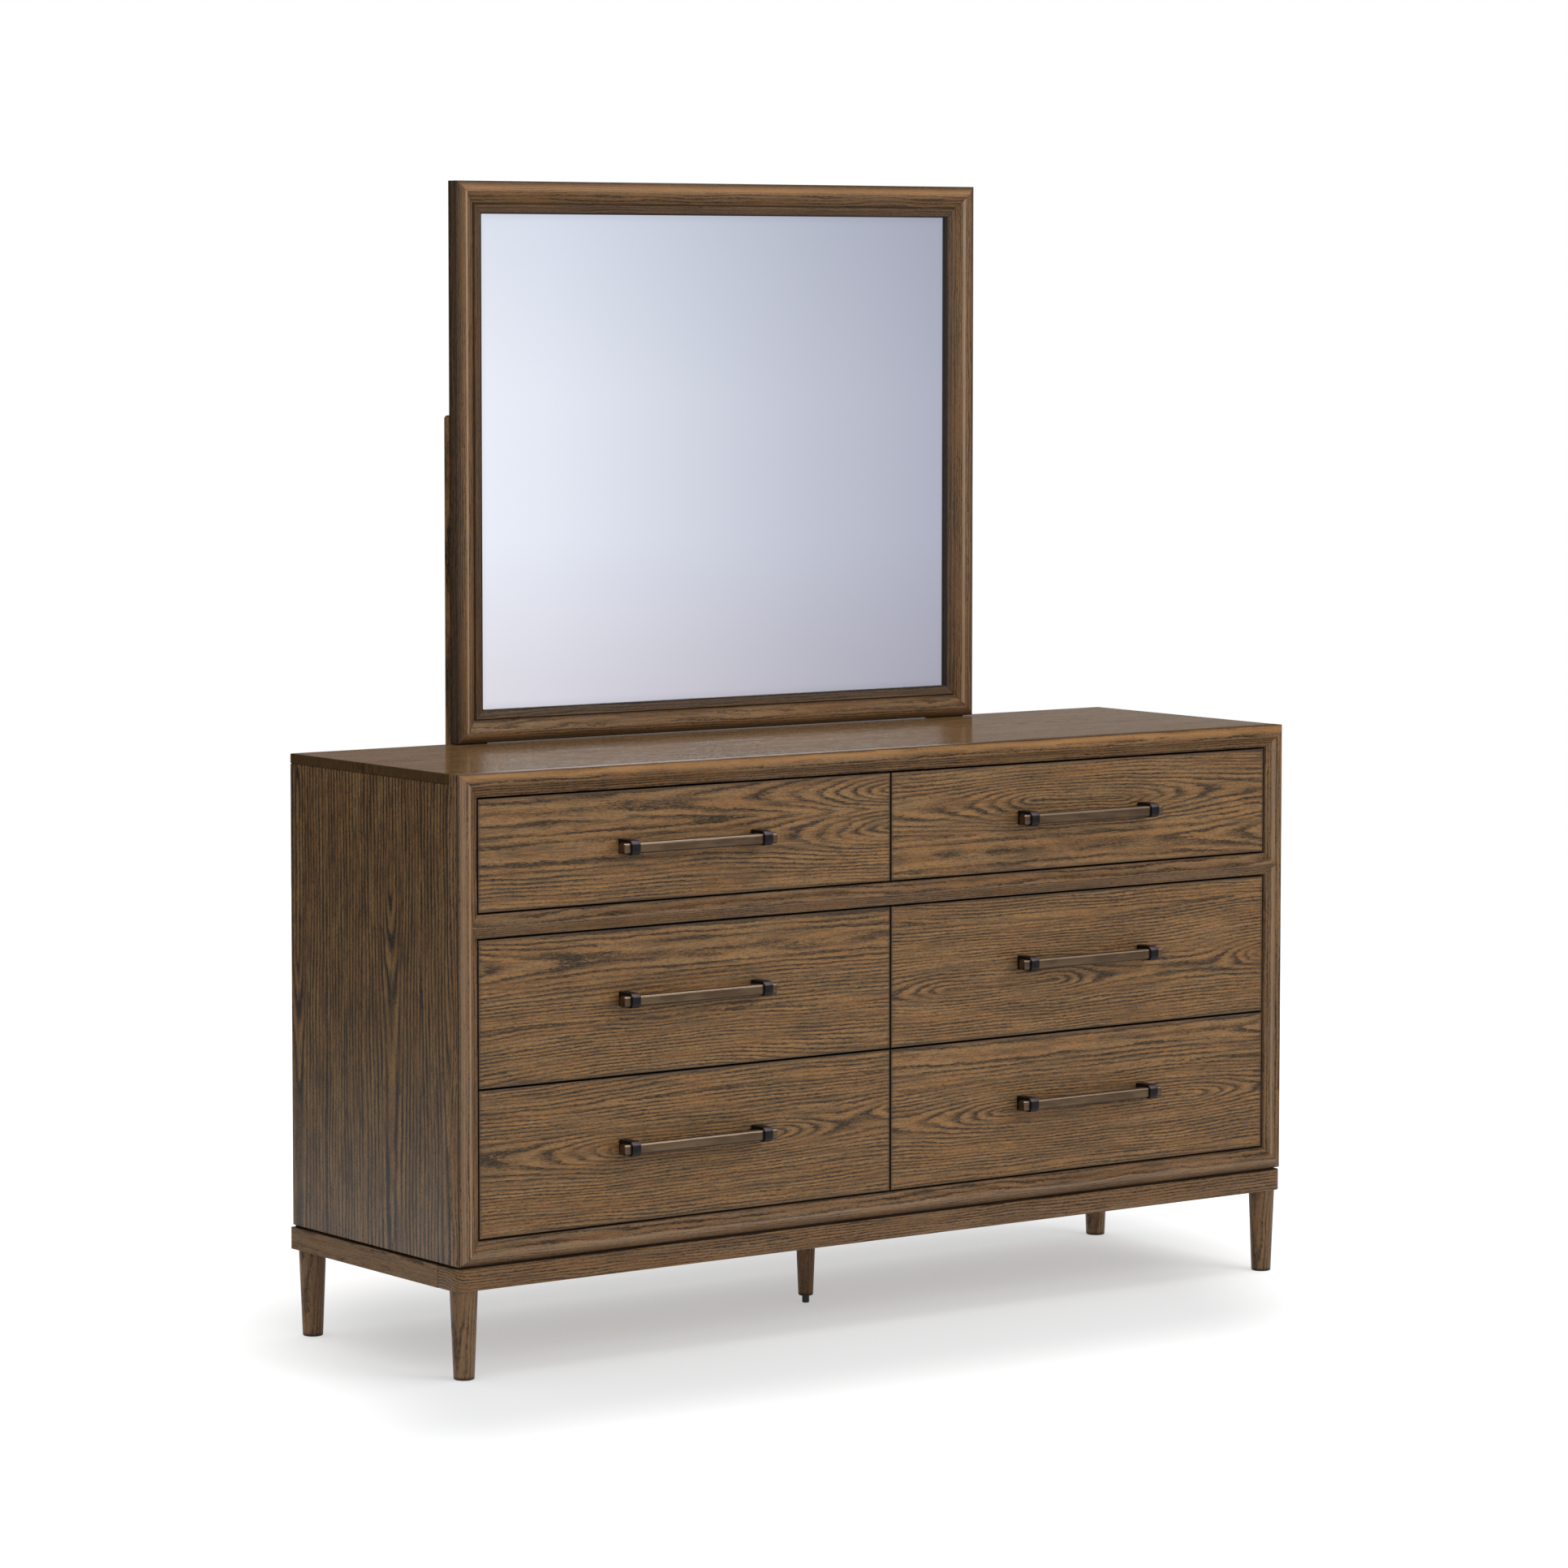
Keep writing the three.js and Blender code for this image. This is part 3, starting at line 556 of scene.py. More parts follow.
@dataclass(frozen=True)
class LiningWood(Finish):
    """Clear-lacquered light hardwood of the drawer boxes, with dovetails in the sides."""

    name: str
    grain: Grain
    joints_at: tuple[float, ...] = ()
    joint_length: float = 12.0
    pitch: float = 27.0
    pin_half: float = 6.8
    flare: float = 0.16
    ring_spacing: float = 7.0
    body: Colour = (186, 158, 120)
    warm: Colour = (171, 140, 101)
    ring_tone: Colour = (154, 120, 82)
    streak_tone: Colour = (132, 100, 66)
    end_grain: Colour = (128, 96, 62)
    seam_tone: Colour = (72, 50, 32)

    def inputs(self, graph: Graph, place: Wire) -> Inputs:
        """The shader's inputs."""
        x, y, z = graph.parts(place)
        along, across, depth = ((x, y, z)[axis] for axis in self.grain.value)
        board = graph.combined(along, across, depth)
        sway = (graph.noise(board, (180, 40, 40)) - 0.5) * 20.0
        ring = ((across + depth * 0.4 + sway) / self.ring_spacing).turn()
        streak = graph.noise(board, (30, 0.9, 0.9), 3.0, 0.6)
        patch = graph.noise(board, (240, 60, 60))
        colour = graph.coats(self.body, (patch.rise(0.35, 0.65), self.warm),
                             (ring.rise(0.2, 1.0) * 0.35, self.ring_tone),
                             (streak.rise(0.52, 0.64) * 0.5, self.streak_tone))
        for start in self.joints_at:
            inside = 1.0 - abs(y - (start + self.joint_length / 2)).above(self.joint_length / 2)
            tooth = abs((z / self.pitch).turn() - 0.5) * self.pitch
            past = tooth + abs(y - start) * self.flare - self.pin_half
            pin = past.rise(-0.25, 0.25)
            seam = 1.0 - abs(past).rise(0.1, 0.5)
            colour = graph.coats(colour, (inside * (1.0 - pin) * 0.55, self.end_grain),
                                 (inside * seam * 0.7, self.seam_tone))
        line = streak.rise(0.55, 0.65)
        return {
            "Base Color": colour,
            "Roughness": line * 0.12 + 0.5,
            "Specular IOR Level": 0.35,
            "Normal": graph.bump(1.0 - line, 0.1, 0.4),
        }


@dataclass(frozen=True)
class PressedBoard(Finish):
    """Brown pressed fibre board: short matted fibres and a faint cloth-like print."""

    name: str = "pressed_board"
    body: Colour = (112, 80, 54)
    cloud_tone: Colour = (96, 68, 46)
    fibre_tone: Colour = (136, 100, 68)
    fleck_tone: Colour = (66, 46, 32)

    def inputs(self, graph: Graph, place: Wire) -> Inputs:
        """The shader's inputs."""
        fibre = graph.noise(place, (2.4, 2.4, 2.4), 4.0, 0.65)
        cloud = graph.noise(place, (90, 90, 90), 3.0)
        fleck = graph.noise(place, (0.9, 3.5, 5.5), 2.0, 0.6, 4.0).rise(0.6, 0.72)
        return {
            "Base Color": graph.coats(self.body, (cloud.rise(0.3, 0.7), self.cloud_tone),
                                      (fibre.rise(0.35, 0.7) * 0.5, self.fibre_tone),
                                      (fleck * 0.5, self.fleck_tone)),
            "Roughness": fibre * 0.2 + 0.68,
            "Specular IOR Level": 0.25,
            "Normal": graph.bump(fibre, 0.18, 0.5),
        }


@dataclass(frozen=True)
class BronzeFinish(Finish):
    """Antique bronze, brushed along the bar, with a painted highlight, partly rub wear, along
    its upper front corner and painted shade along its lower one.
    """

    name: str = "antique_bronze"
    body: Colour = (104, 86, 66)
    patina_tone: Colour = (86, 70, 54)
    brushed: Colour = (140, 118, 92)
    spot_tone: Colour = (52, 40, 32)
    rubbed_and_lit: Colour = (232, 206, 184)
    shaded: Colour = (46, 36, 28)

    def inputs(self, graph: Graph, place: Wire) -> Inputs:
        """The shader's inputs."""
        brush = graph.noise(place, (60, 0.5, 0.5))
        patina = graph.noise(place, (50, 12, 12), seed=3.0)
        corner = graph.attribute("inset")
        spot = graph.noise(place, (2.2, 1.6, 1.6), seed=9.0).rise(0.66, 0.76)
        return {
            # Painted highlight, partly rub wear, on the upper front corner, and painted shade on
            # the lower one.
            "Base Color": graph.coats(self.body, (patina.rise(0.38, 0.62), self.patina_tone),
                                      (brush.rise(0.45, 0.65) * 0.2, self.brushed),
                                      (spot * 0.5, self.spot_tone),
                                      (corner.rise(0.76, 0.98) * 0.9, self.rubbed_and_lit),
                                      (corner.rise(-0.2, -0.9) * 0.75, self.shaded)),
            "Metallic": 0.85,
            "Roughness": patina * 0.1 + (brush - 0.5) * 0.12 + 0.26,
            "Normal": graph.bump(brush, 0.02, 0.4),
        }


@dataclass(frozen=True)
class BlackMetal(Finish):
    """Blackened metal of the brackets, worn a little on its faces, with a painted highlight
    along its upper front corner.
    """

    name: str = "blackened_metal"
    body: Colour = (22, 18, 21)
    worn: Colour = (40, 33, 37)
    corner_highlight: Colour = (128, 114, 122)

    def inputs(self, graph: Graph, place: Wire) -> Inputs:
        """The shader's inputs."""
        grit = graph.noise(place, (0.8, 0.8, 0.8), 3.0, 0.6)
        wear = graph.noise(place, (9, 9, 9), 3.0, 0.6, 2.0)
        corner = graph.attribute("inset")
        return {
            # Painted highlight on the upper front corner.
            "Base Color": graph.coats(self.body, (wear.rise(0.5, 0.72) * 0.6, self.worn),
                                      (corner.rise(0.3, 1.0) * 0.6, self.corner_highlight)),
            "Metallic": 0.6,
            "Roughness": wear * 0.2 + grit * 0.12 + 0.3,
            "Normal": graph.bump(grit, 0.04, 0.5),
        }


@dataclass(frozen=True)
class SteelFinish(Finish):
    """Zinc-plated steel of screws, pins and glazing points."""

    name: str = "zinc_steel"
    body: Colour = (186, 186, 184)
    bloom_tone: Colour = (150, 148, 142)

    def inputs(self, graph: Graph, place: Wire) -> Inputs:
        """The shader's inputs."""
        bloom = graph.noise(place, (3, 3, 3), 3.0, 0.6)
        grit = graph.noise(place, (0.5, 0.5, 0.5), seed=5.0)
        return {
            "Base Color": graph.coats(self.body, (bloom.rise(0.4, 0.65), self.bloom_tone)),
            "Metallic": 0.95,
            "Roughness": bloom * 0.2 + 0.28,
            "Normal": graph.bump(grit, 0.02, 0.4),
        }


@dataclass(frozen=True)
class NylonFinish(Finish):
    """Black moulded nylon of the screw glide."""

    name: str = "black_nylon"
    body: Colour = (24, 23, 24)
    scuffed: Colour = (52, 49, 47)

    def inputs(self, graph: Graph, place: Wire) -> Inputs:
        """The shader's inputs."""
        grain = graph.noise(place, (0.7, 0.7, 0.7))
        scuff = graph.noise(place, (5, 5, 2), 3.0, 0.6, 6.0).rise(0.5, 0.7)
        return {
            "Base Color": graph.coats(self.body, (scuff * 0.5, self.scuffed)),
            "Roughness": grain * 0.16 + 0.42,
            "Normal": graph.bump(grain, 0.05, 0.4),
        }


@dataclass(frozen=True)
class SilveredGlass(Finish):
    """Silvered float glass, with a faint haze and a slightly darker tone near its edges."""

    name: str = "silvered_glass"
    half_width: float = 487.0
    low: float = 989.6
    high: float = 1814.55
    body: Colour = (252, 252, 253)
    edge_tone: Colour = (215, 218, 224)

    def inputs(self, graph: Graph, place: Wire) -> Inputs:
        """The shader's inputs."""
        x, _, z = graph.parts(place)
        haze = graph.noise(place, (220, 220, 220))
        side = self.half_width - abs(x)
        end = (self.high - self.low) / 2 - abs(z - (self.high + self.low) / 2)
        edge = 1.0 - side.least(end).rise(7.0, 22.0)
        return {
            "Base Color": graph.coats(self.body, (edge * 0.3, self.edge_tone)),
            "Metallic": 1.0,
            "Roughness": haze * 0.02 + 0.008,
        }


# Mesh building


def link(name: str, data: Any) -> bpy.types.Object:
    """Makes an object of this mesh, lamp or camera and links it to the scene."""
    made = bpy.data.objects.new(name, data)
    bpy.context.scene.collection.objects.link(made)
    return made


def add_bevel(piece: bpy.types.Object, width: float) -> None:
    """Rounds a piece's sharp edges with a Bevel of this width in millimetres."""
    bevel = piece.modifiers.new("eased_edges", "BEVEL")
    bevel.width = width * METRE
    bevel.segments = 2
    bevel.limit_method = "ANGLE"
    bevel.angle_limit = SHARP_ANGLE


def dress(node: str, material: bpy.types.Material) -> bpy.types.Object:
    """Gives a piece of the model its finish.

    Args:
        node: the piece's name in the model.
        material: the finish.

    Returns:
        The piece's object.
    """
    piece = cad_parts[node]
    if piece.material_slots:
        for place in piece.material_slots:
            place.material = material
    else:
        piece.data.materials.append(material)
    return piece


def ease_edges(piece: bpy.types.Object, width: float) -> None:
    """Joins a model piece's loose faces and rounds its edges, as live modifiers."""
    weld = piece.modifiers.new("joined_faces", "WELD")
    weld.merge_threshold = WELD_METRES
    add_bevel(piece, width)


@dataclass
class Surface:
    """A mesh under construction: its points in millimetres, faces and edge distances."""

    points: np.ndarray
    faces: list[tuple[int, ...]]
    insets: np.ndarray | None = None

    def volume(self) -> float:
        """Signed volume: a sixth of the sum, over the fans of all faces, of a . (b x c)."""
        fans = [(f[0], f[i], f[i + 1]) for f in self.faces for i in range(1, len(f) - 1)]
        a, b, c = (self.points[np.array(fans)[:, k]] for k in range(3))
        return float(np.einsum("ij,ij->i", a, np.cross(b, c)).sum() / 6)

    def outward(self) -> "Surface":
        """Turns all faces over if the volume is negative."""
        if self.volume() < 0:
            self.faces = [tuple(reversed(face)) for face in self.faces]
        return self

    @staticmethod
    def union(parts: Iterable["Surface"]) -> "Surface":
        """Several closed surfaces as one mesh."""
        points, faces, start = [], [], 0
        for part in parts:
            points.append(part.points)
            faces += [tuple(i + start for i in face) for face in part.faces]
            start += len(part.points)
        return Surface(np.concatenate(points), faces)

    def moved(self, x: float = 0.0, y: float = 0.0, z: float = 0.0) -> "Surface":
        """A copy that stands this much further along each axis."""
        return Surface(self.points + np.array([x, y, z]), list(self.faces), self.insets)

    def piece(self, name: str, material: bpy.types.Material, body: str, slot: str,
              stands_for: str | None = None) -> bpy.types.Object:
        """Puts the surface into the scene.

        Args:
            name: the object's name.
            material: its finish.
            body: the model's body that it rides on.
            slot: the name of the finish that it has; not used.
            stands_for: the model's piece that it replaces, if any.

        Returns:
            The new object.
        """
        self.outward()
        mesh = bpy.data.meshes.new(name)
        place = (self.points + np.array([0.0, ROW_SHIFT, 0.0])) * METRE
        mesh.from_pydata(place.tolist(), [], self.faces)
        mesh.polygons.foreach_set("use_smooth", np.ones(len(mesh.polygons), dtype=bool))
        if self.insets is not None:
            layer = mesh.attributes.new("inset", "FLOAT", "POINT")
            layer.data.foreach_set("value", self.insets.astype(np.float32))
        mesh.materials.append(material)
        mesh.update()
        mesh.set_sharp_from_angle(angle=SHARP_ANGLE)
        made = link(name, mesh)
        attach(made, body)
        if stands_for:
            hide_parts(stands_for)
        return made


def wall(rows: int, columns: int, closed: bool) -> list[tuple[int, ...]]:
    """Quads between neighbours of a grid of points, numbered row by row.

    Args:
        rows, columns: the grid's size. Each row closes on itself.
        closed: whether the last row joins the first.

    Returns:
        The quads.
    """
    row = np.arange(rows if closed else rows - 1)[:, None]
    column = np.arange(columns)[None, :]
    next_row, next_column = (row + 1) % rows, (column + 1) % columns
    corners = (row * columns + column, row * columns + next_column,
               next_row * columns + next_column, next_row * columns + column)
    return [tuple(quad) for quad in np.stack(corners, -1).reshape(-1, 4).tolist()]


def loft(rings: np.ndarray, closed: bool = False) -> Surface:
    """A skin through cross-sections.

    Args:
        rings: an array of rings by points by x, y and z. Each ring closes on itself.
        closed: whether the last ring joins the first. If not, both ends get a flat cap.

    Returns:
        The closed surface.
    """
    count, around, _ = rings.shape
    faces = wall(count, around, closed)
    if not closed:
        faces.append(tuple(range(around - 1, -1, -1)))
        faces.append(tuple(range((count - 1) * around, count * around)))
    return Surface(rings.reshape(-1, 3), faces)


def mirrored_rings(end: np.ndarray, y: np.ndarray, z: np.ndarray) -> np.ndarray:
    """Two rings at -end and end along x, for a member that lies across the front."""
    return np.stack([np.stack([side * end, y, z], -1) for side in (-1, 1)])


def plane_ring(x: float, section: np.ndarray) -> np.ndarray:
    """A section of y and z as a ring at this x."""
    return np.column_stack([np.full(len(section), x), section])


def eased(radius: float, steps: int) -> tuple[np.ndarray, np.ndarray]:
    """A rounded edge from its end face on: radius (1 - sin t) inward at radius (1 - cos t)."""
    bend = np.radians(np.linspace(0, 90, steps + 1))
    return radius * (1 - np.sin(bend)), radius * (1 - np.cos(bend))


def turned(profile: np.ndarray, centre: Pair, sides: int = 64, closed: bool = False) -> Surface:
    """Turns a profile about an upright axis.

    A point at distance r and height z goes round as (cx + r cos t, cy + r sin t, z).

    Args:
        profile: pairs of distance from the axis and height, from one end to the other.
        centre: the axis's x and y.
        sides: the number of steps round.
        closed: whether the profile closes on itself, as a hollow leg's does.

    Returns:
        The closed surface.
    """
    angle = np.linspace(0, 2 * math.pi, sides, endpoint=False)
    distance, height = profile[:, :1], profile[:, 1:]
    x = centre[0] + distance * np.cos(angle)
    y = centre[1] + distance * np.sin(angle)
    return loft(np.stack([x, y, np.broadcast_to(height, x.shape)], -1), closed)


def arc(centre: Pair, radius: float, start: float, end: float, steps: int) -> np.ndarray:
    """Points at centre + radius (cos t, sin t), with t in degrees from start to end."""
    angle = np.radians(np.linspace(start, end, steps + 1))
    return np.array(centre) + radius * np.stack([np.cos(angle), np.sin(angle)], -1)


def rounded_rectangle(low: Pair, high: Pair, radii: Sequence[float], steps: int = 8) -> np.ndarray:
    """A rectangle with round corners, anticlockwise from the corner where both are highest.

    Args:
        low, high: its two corners.
        radii: the radii of the corners high high, low high, low low and high low.
        steps: the steps in a corner.

    Returns:
        Its points.
    """
    (left, bottom), (right, top) = low, high
    corners = ((right, top, -1, -1), (left, top, 1, -1), (left, bottom, 1, 1),
               (right, bottom, -1, 1))
    return np.concatenate([
        arc((x + in_x * radius, y + in_y * radius), radius, 90 * turn, 90 * turn + 90, steps)
        for turn, ((x, y, in_x, in_y), radius) in enumerate(zip(corners, radii))
    ])


def softened(points: np.ndarray, radius: float, steps: int = 4) -> np.ndarray:
    """Rounds the sharp corners of a closed outline.

    A corner p between unit directions d and e, whose turn is over CORNER_TURN, becomes the curve
    (1-t)^2 (p - r d) + 2 t (1-t) p + t^2 (p + r e). Other points stay.

    Args:
        points: the outline.
        radius: how far from the corner the rounding starts.
        steps: the steps in each corner.

    Returns:
        The outline with its corners rounded.
    """
    before = points - np.roll(points, 1, 0)
    after = np.roll(points, -1, 0) - points
    length_before = np.linalg.norm(before, axis=1, keepdims=True)
    length_after = np.linalg.norm(after, axis=1, keepdims=True)
    d, e = before / length_before, after / length_after
    sharp = (d * e).sum(1) < math.cos(CORNER_TURN)
    reach = np.minimum(radius, 0.4 * np.minimum(length_before, length_after))
    t = np.linspace(0, 1, steps + 1)[None, :, None]
    p = points[:, None]
    curve = ((1 - t) ** 2 * (p - (reach * d)[:, None]) + 2 * t * (1 - t) * p
             + t**2 * (p + (reach * e)[:, None]))
    keep = np.zeros(curve.shape[:2], dtype=bool)
    keep[sharp] = True
    keep[:, 0] = True
    curve[~sharp, 0] = points[~sharp]
    return curve[keep]


def flank(distance: np.ndarray, reach: float, rise: float, fullness: float) -> np.ndarray:
    """Height of a moulding's flank: rise sin(pi/2 (distance/reach)^fullness)."""
    return rise * np.sin(math.pi / 2 * (distance / reach) ** fullness)


def cushion(width: float, crown: float, arris: float, height: float, edge: float,
            steps: int = 28) -> np.ndarray:
    """Front of a cushion moulding, as pairs of distance in from its outer edge and height.

    Args:
        width: its whole width.
        crown: the distance in to its highest line.
        arris, height, edge: its height at the outer edge, at the crown and at the inner edge.
        steps: the steps in each flank.

    Returns:
        The points from the outer to the inner edge.
    """
    out = np.linspace(0, crown, steps + 1)
    reach = width - crown
    inward = np.linspace(0, reach, steps + 1)
    rising = np.stack([out, arris + flank(out, crown, height - arris, 1.0)], -1)
    fall = edge + flank(inward, reach, height - edge, INNER_FULLNESS)
    falling = np.stack([width - inward, fall], -1)
    return np.concatenate([rising, falling[::-1][1:]])


# Sub-assemblies


TOP_FIGURE = (Heart(-900, -60, 120, 0.16), Heart(980, 40, 260, 0.15), Heart(0, 420, STRAIGHT))
SIDE_FIGURES = {
    "left": (Heart(1010, -46, 250, 0.16, 190, 6), Heart(760, 236, 120, 0.16, 150, 6),
             Heart(760, -222, 100, 0.16, 180, 6), Heart(500, 90, STRAIGHT, 0.2, 100, 34.5)),
    "right": (Heart(1040, 30, 220, 0.16, 180), Heart(700, -205, 130, 0.16, 150),
              Heart(500, 170, STRAIGHT, 0.2, 100, 20)),
}
FRONT_FIGURES = {
    "upper_left": (Heart(70, 878, 50, 0.2, 230), Heart(105, 812, 80, 0.2, 210),
                   Heart(-710, 803, 20, 0.3, 60, 74), Heart(-400, 900, 60, 0.2, 200, 60)),
    "upper_right": (Heart(385, 838, 90, 0.2, 170), Heart(1150, 760, 150, 0.2, 200),
                    Heart(-60, 690, 120, 0.2, 150)),
    "middle_left": (Heart(-450, 436, 80, 0.2, 190), Heart(-1300, 640, 300, 0.2, 200),
                    Heart(260, 740, STRAIGHT, 0.15)),
    "middle_right": (Heart(230, 540, 110, 0.2, 110), Heart(905, 552, 90, 0.22, 330),
                     Heart(500, 760, 300, 0.2, 200)),
    "lower_left": (Heart(-385, 335, 140, 0.2, 150), Heart(90, 350, 30, 0.2, 120, 6),
                   Heart(-900, 480, 200, 0.2, 200)),
    "lower_right": (Heart(440, 325, 200, 0.19, 150), Heart(1200, 430, 200, 0.2, 150),
                    Heart(400, 140, STRAIGHT, 0.2)),
}


@dataclass
class FaceFrame:
    """The mitred face frame. Its middle rail runs into both stiles as a bird's mouth."""

    case_half: float = 837.575
    bottom: float = 179.5
    top: float = 942.1
    width: float = 36.5
    rear: float = -219.5
    stock: float = 23.5
    crown_inset: float = 14.0
    crown_rise: float = 13.0
    arris_rise: float = 1.5
    chamfer: float = 1.4
    middle: float = 705.35
    gap: float = MITRE_GAP
    ease: float = 0.7
    flank_steps: int = 24
    outer_band: float = 2.0
    inner_band: float = 0.1

    def section(self, chamfered: bool) -> np.ndarray:
        """Closed section of a member, with a point at half its width in front and behind."""
        front = cushion(self.width, self.crown_inset, self.stock + self.arris_rise,
                        self.stock + self.crown_rise, self.stock)
        half = self.width / 2
        middle = np.array([[half, np.interp(half, front[:, 0], front[:, 1])]])
        front = np.concatenate([front[front[:, 0] < half], middle, front[front[:, 0] > half]])
        back = [[self.width, 0.0], [half, 0.0]]
        heel = [[self.chamfer, 0.0], [0.0, self.chamfer]] if chamfered else [[0.0, 0.0]]
        return softened(np.concatenate([front, back, heel]), self.ease)

    def edge_distance(self, outline: np.ndarray) -> np.ndarray:
        """Distance in from a member's outer edge, and below 0 down the edge's own face."""
        inset, height = outline[:, 0], outline[:, 1]
        outer_face = (inset < self.outer_band) & (height < self.stock)
        inner_face = (inset > self.width - self.inner_band) & (height < self.stock - self.ease)
        return np.where(outer_face, OUTER_FACE, np.where(inner_face, INNER_FACE, inset))

    def stile(self, sign: int) -> Surface:
        """A stile: two lengths that share their outer half, with the notch's walls between."""
        outline = self.section(True)
        inset, height = outline[:, 0], outline[:, 1]
        half = self.width / 2
        notch = np.maximum(inset - half, 0.0)
        levels = (self.bottom + inset, self.middle - notch, self.middle + notch, self.top - inset)
        x = sign * (self.case_half - inset)
        y = self.rear - height
        rings = np.stack([np.stack([x, y, level], -1) for level in levels])
        count = len(outline)
        number = np.arange(4 * count).reshape(4, count)
        shared = inset <= half + HAIR
        number[2, shared] = number[1, shared]
        faces = [tuple(face) for a, b in ((0, 1), (2, 3)) for face in np.stack(
            [number[a], np.roll(number[a], -1), np.roll(number[b], -1), number[b]], -1).tolist()]
        notched = np.flatnonzero(inset >= half - HAIR)
        faces += [tuple(number[0, ::-1].tolist()), tuple(number[3].tolist()),
                  tuple(number[1, notched].tolist()), tuple(number[2, notched[::-1]].tolist())]
        return Surface(rings.reshape(-1, 3), faces, np.tile(self.edge_distance(outline), 4))

    def end_rail(self, outer: float, inward: int) -> Surface:
        """The top or bottom rail, mitred against the stiles with a hair's gap."""
        outline = self.section(False)
        inset, height = outline[:, 0], outline[:, 1]
        end = self.case_half - self.gap - inset
        made = loft(mirrored_rings(end, self.rear - height, outer + inward * inset))
        made.insets = np.tile(self.edge_distance(outline), 2)
        return made

    def middle_rail(self) -> Surface:
        """The middle rail: the stile's inner flank on both sides, with pointed ends."""
        half = self.width / 2
        reach = self.width - self.crown_inset
        rise = np.linspace(0, half, self.flank_steps + 1)
        height = self.stock + flank(rise, reach, self.crown_rise, INNER_FULLNESS)
        lower = np.stack([rise - half, height], -1)
        upper = (lower * [-1, 1])[::-1][1:]
        outline = np.concatenate([lower, upper, [[half, 0.0], [0.0, 0.0], [-half, 0.0]]])
        outline = softened(outline, self.ease)
        offset, height = outline[:, 0], outline[:, 1]
        distance = np.abs(offset)
        end = self.case_half - half - self.gap - distance
        rings = mirrored_rings(end, self.rear - height, self.middle + offset)
        count = len(outline)
        faces = wall(2, count, False)
        centre = distance < HAIR
        for half_end, turn_at in ((offset <= HAIR, centre & (height == 0)),
                                  (offset >= -HAIR, centre & (height > 0))):
            ring = np.flatnonzero(half_end)
            first = int(np.flatnonzero(ring == np.flatnonzero(turn_at)[0])[0])
            ring = np.roll(ring, -first).tolist()
            faces.append(tuple(reversed(ring)))
            faces.append(tuple(i + count for i in ring))
        edge_face = (distance > half - self.inner_band) & (height < self.stock - self.ease)
        inset = np.where(edge_face, INNER_FACE, self.width - half + distance)
        return Surface(rings.reshape(-1, 3), faces, np.tile(inset, 2))

    def build(self) -> None:
        """Makes the five members and puts them in place of the model's."""
        # Painted shade in the gaps at both edges of a member.
        shade_bands = (HighlightShadeBand(0.0, 2.2, 0.75), HighlightShadeBand(self.width, 3.2, 0.5))
        rail = Oak("oak_frame", Grain.ACROSS_FRONT, (), MOULD, 4.2, depth_centre=-190,
                   shade_bands=shade_bands)
        stile = replace(rail, grain=Grain.UP_FRONT)
        # Each member's bands of painted highlight, partly rub wear, lie where light catches it.
        members = {
            "stile_left": (self.stile(-1), (500, -900), replace(
                stile, rubs_and_highlights=(HighlightShadeBand(15.5, 3.0, 0.65), HighlightShadeBand(6, 6, 0.4)))),
            "stile_right": (self.stile(1), (500, 790), replace(stile, rubs_and_highlights=(HighlightShadeBand(24, 4, 0.55),))),
            "top_rail": (self.end_rail(self.top, -1), (0, 900), replace(
                rail, rubs_and_highlights=(HighlightShadeBand(5, 8, 0.45, (172, 124, 74)),), specular=0.13, gloss=0.48,
                shade_bands=(*shade_bands, HighlightShadeBand(23, 6, 0.3)))),
            "middle_rail": (self.middle_rail(), (0, 640), rail),
            "bottom_rail": (self.end_rail(self.bottom, 1), (0, 120), replace(
                rail, rubs_and_highlights=(HighlightShadeBand(15, 6, 0.25),))),
        }
        for seed, (node, (shape, heart, look)) in enumerate(members.items(), 11):
            oak = replace(look, name=f"oak_{node}", hearts=(Heart(*heart, STRAIGHT),), seed=seed)
            shape.piece(f"{node}_moulded", oak.material(), "case", "frame_oak", node)
        log.info("face frame: %d moulded members", len(members))


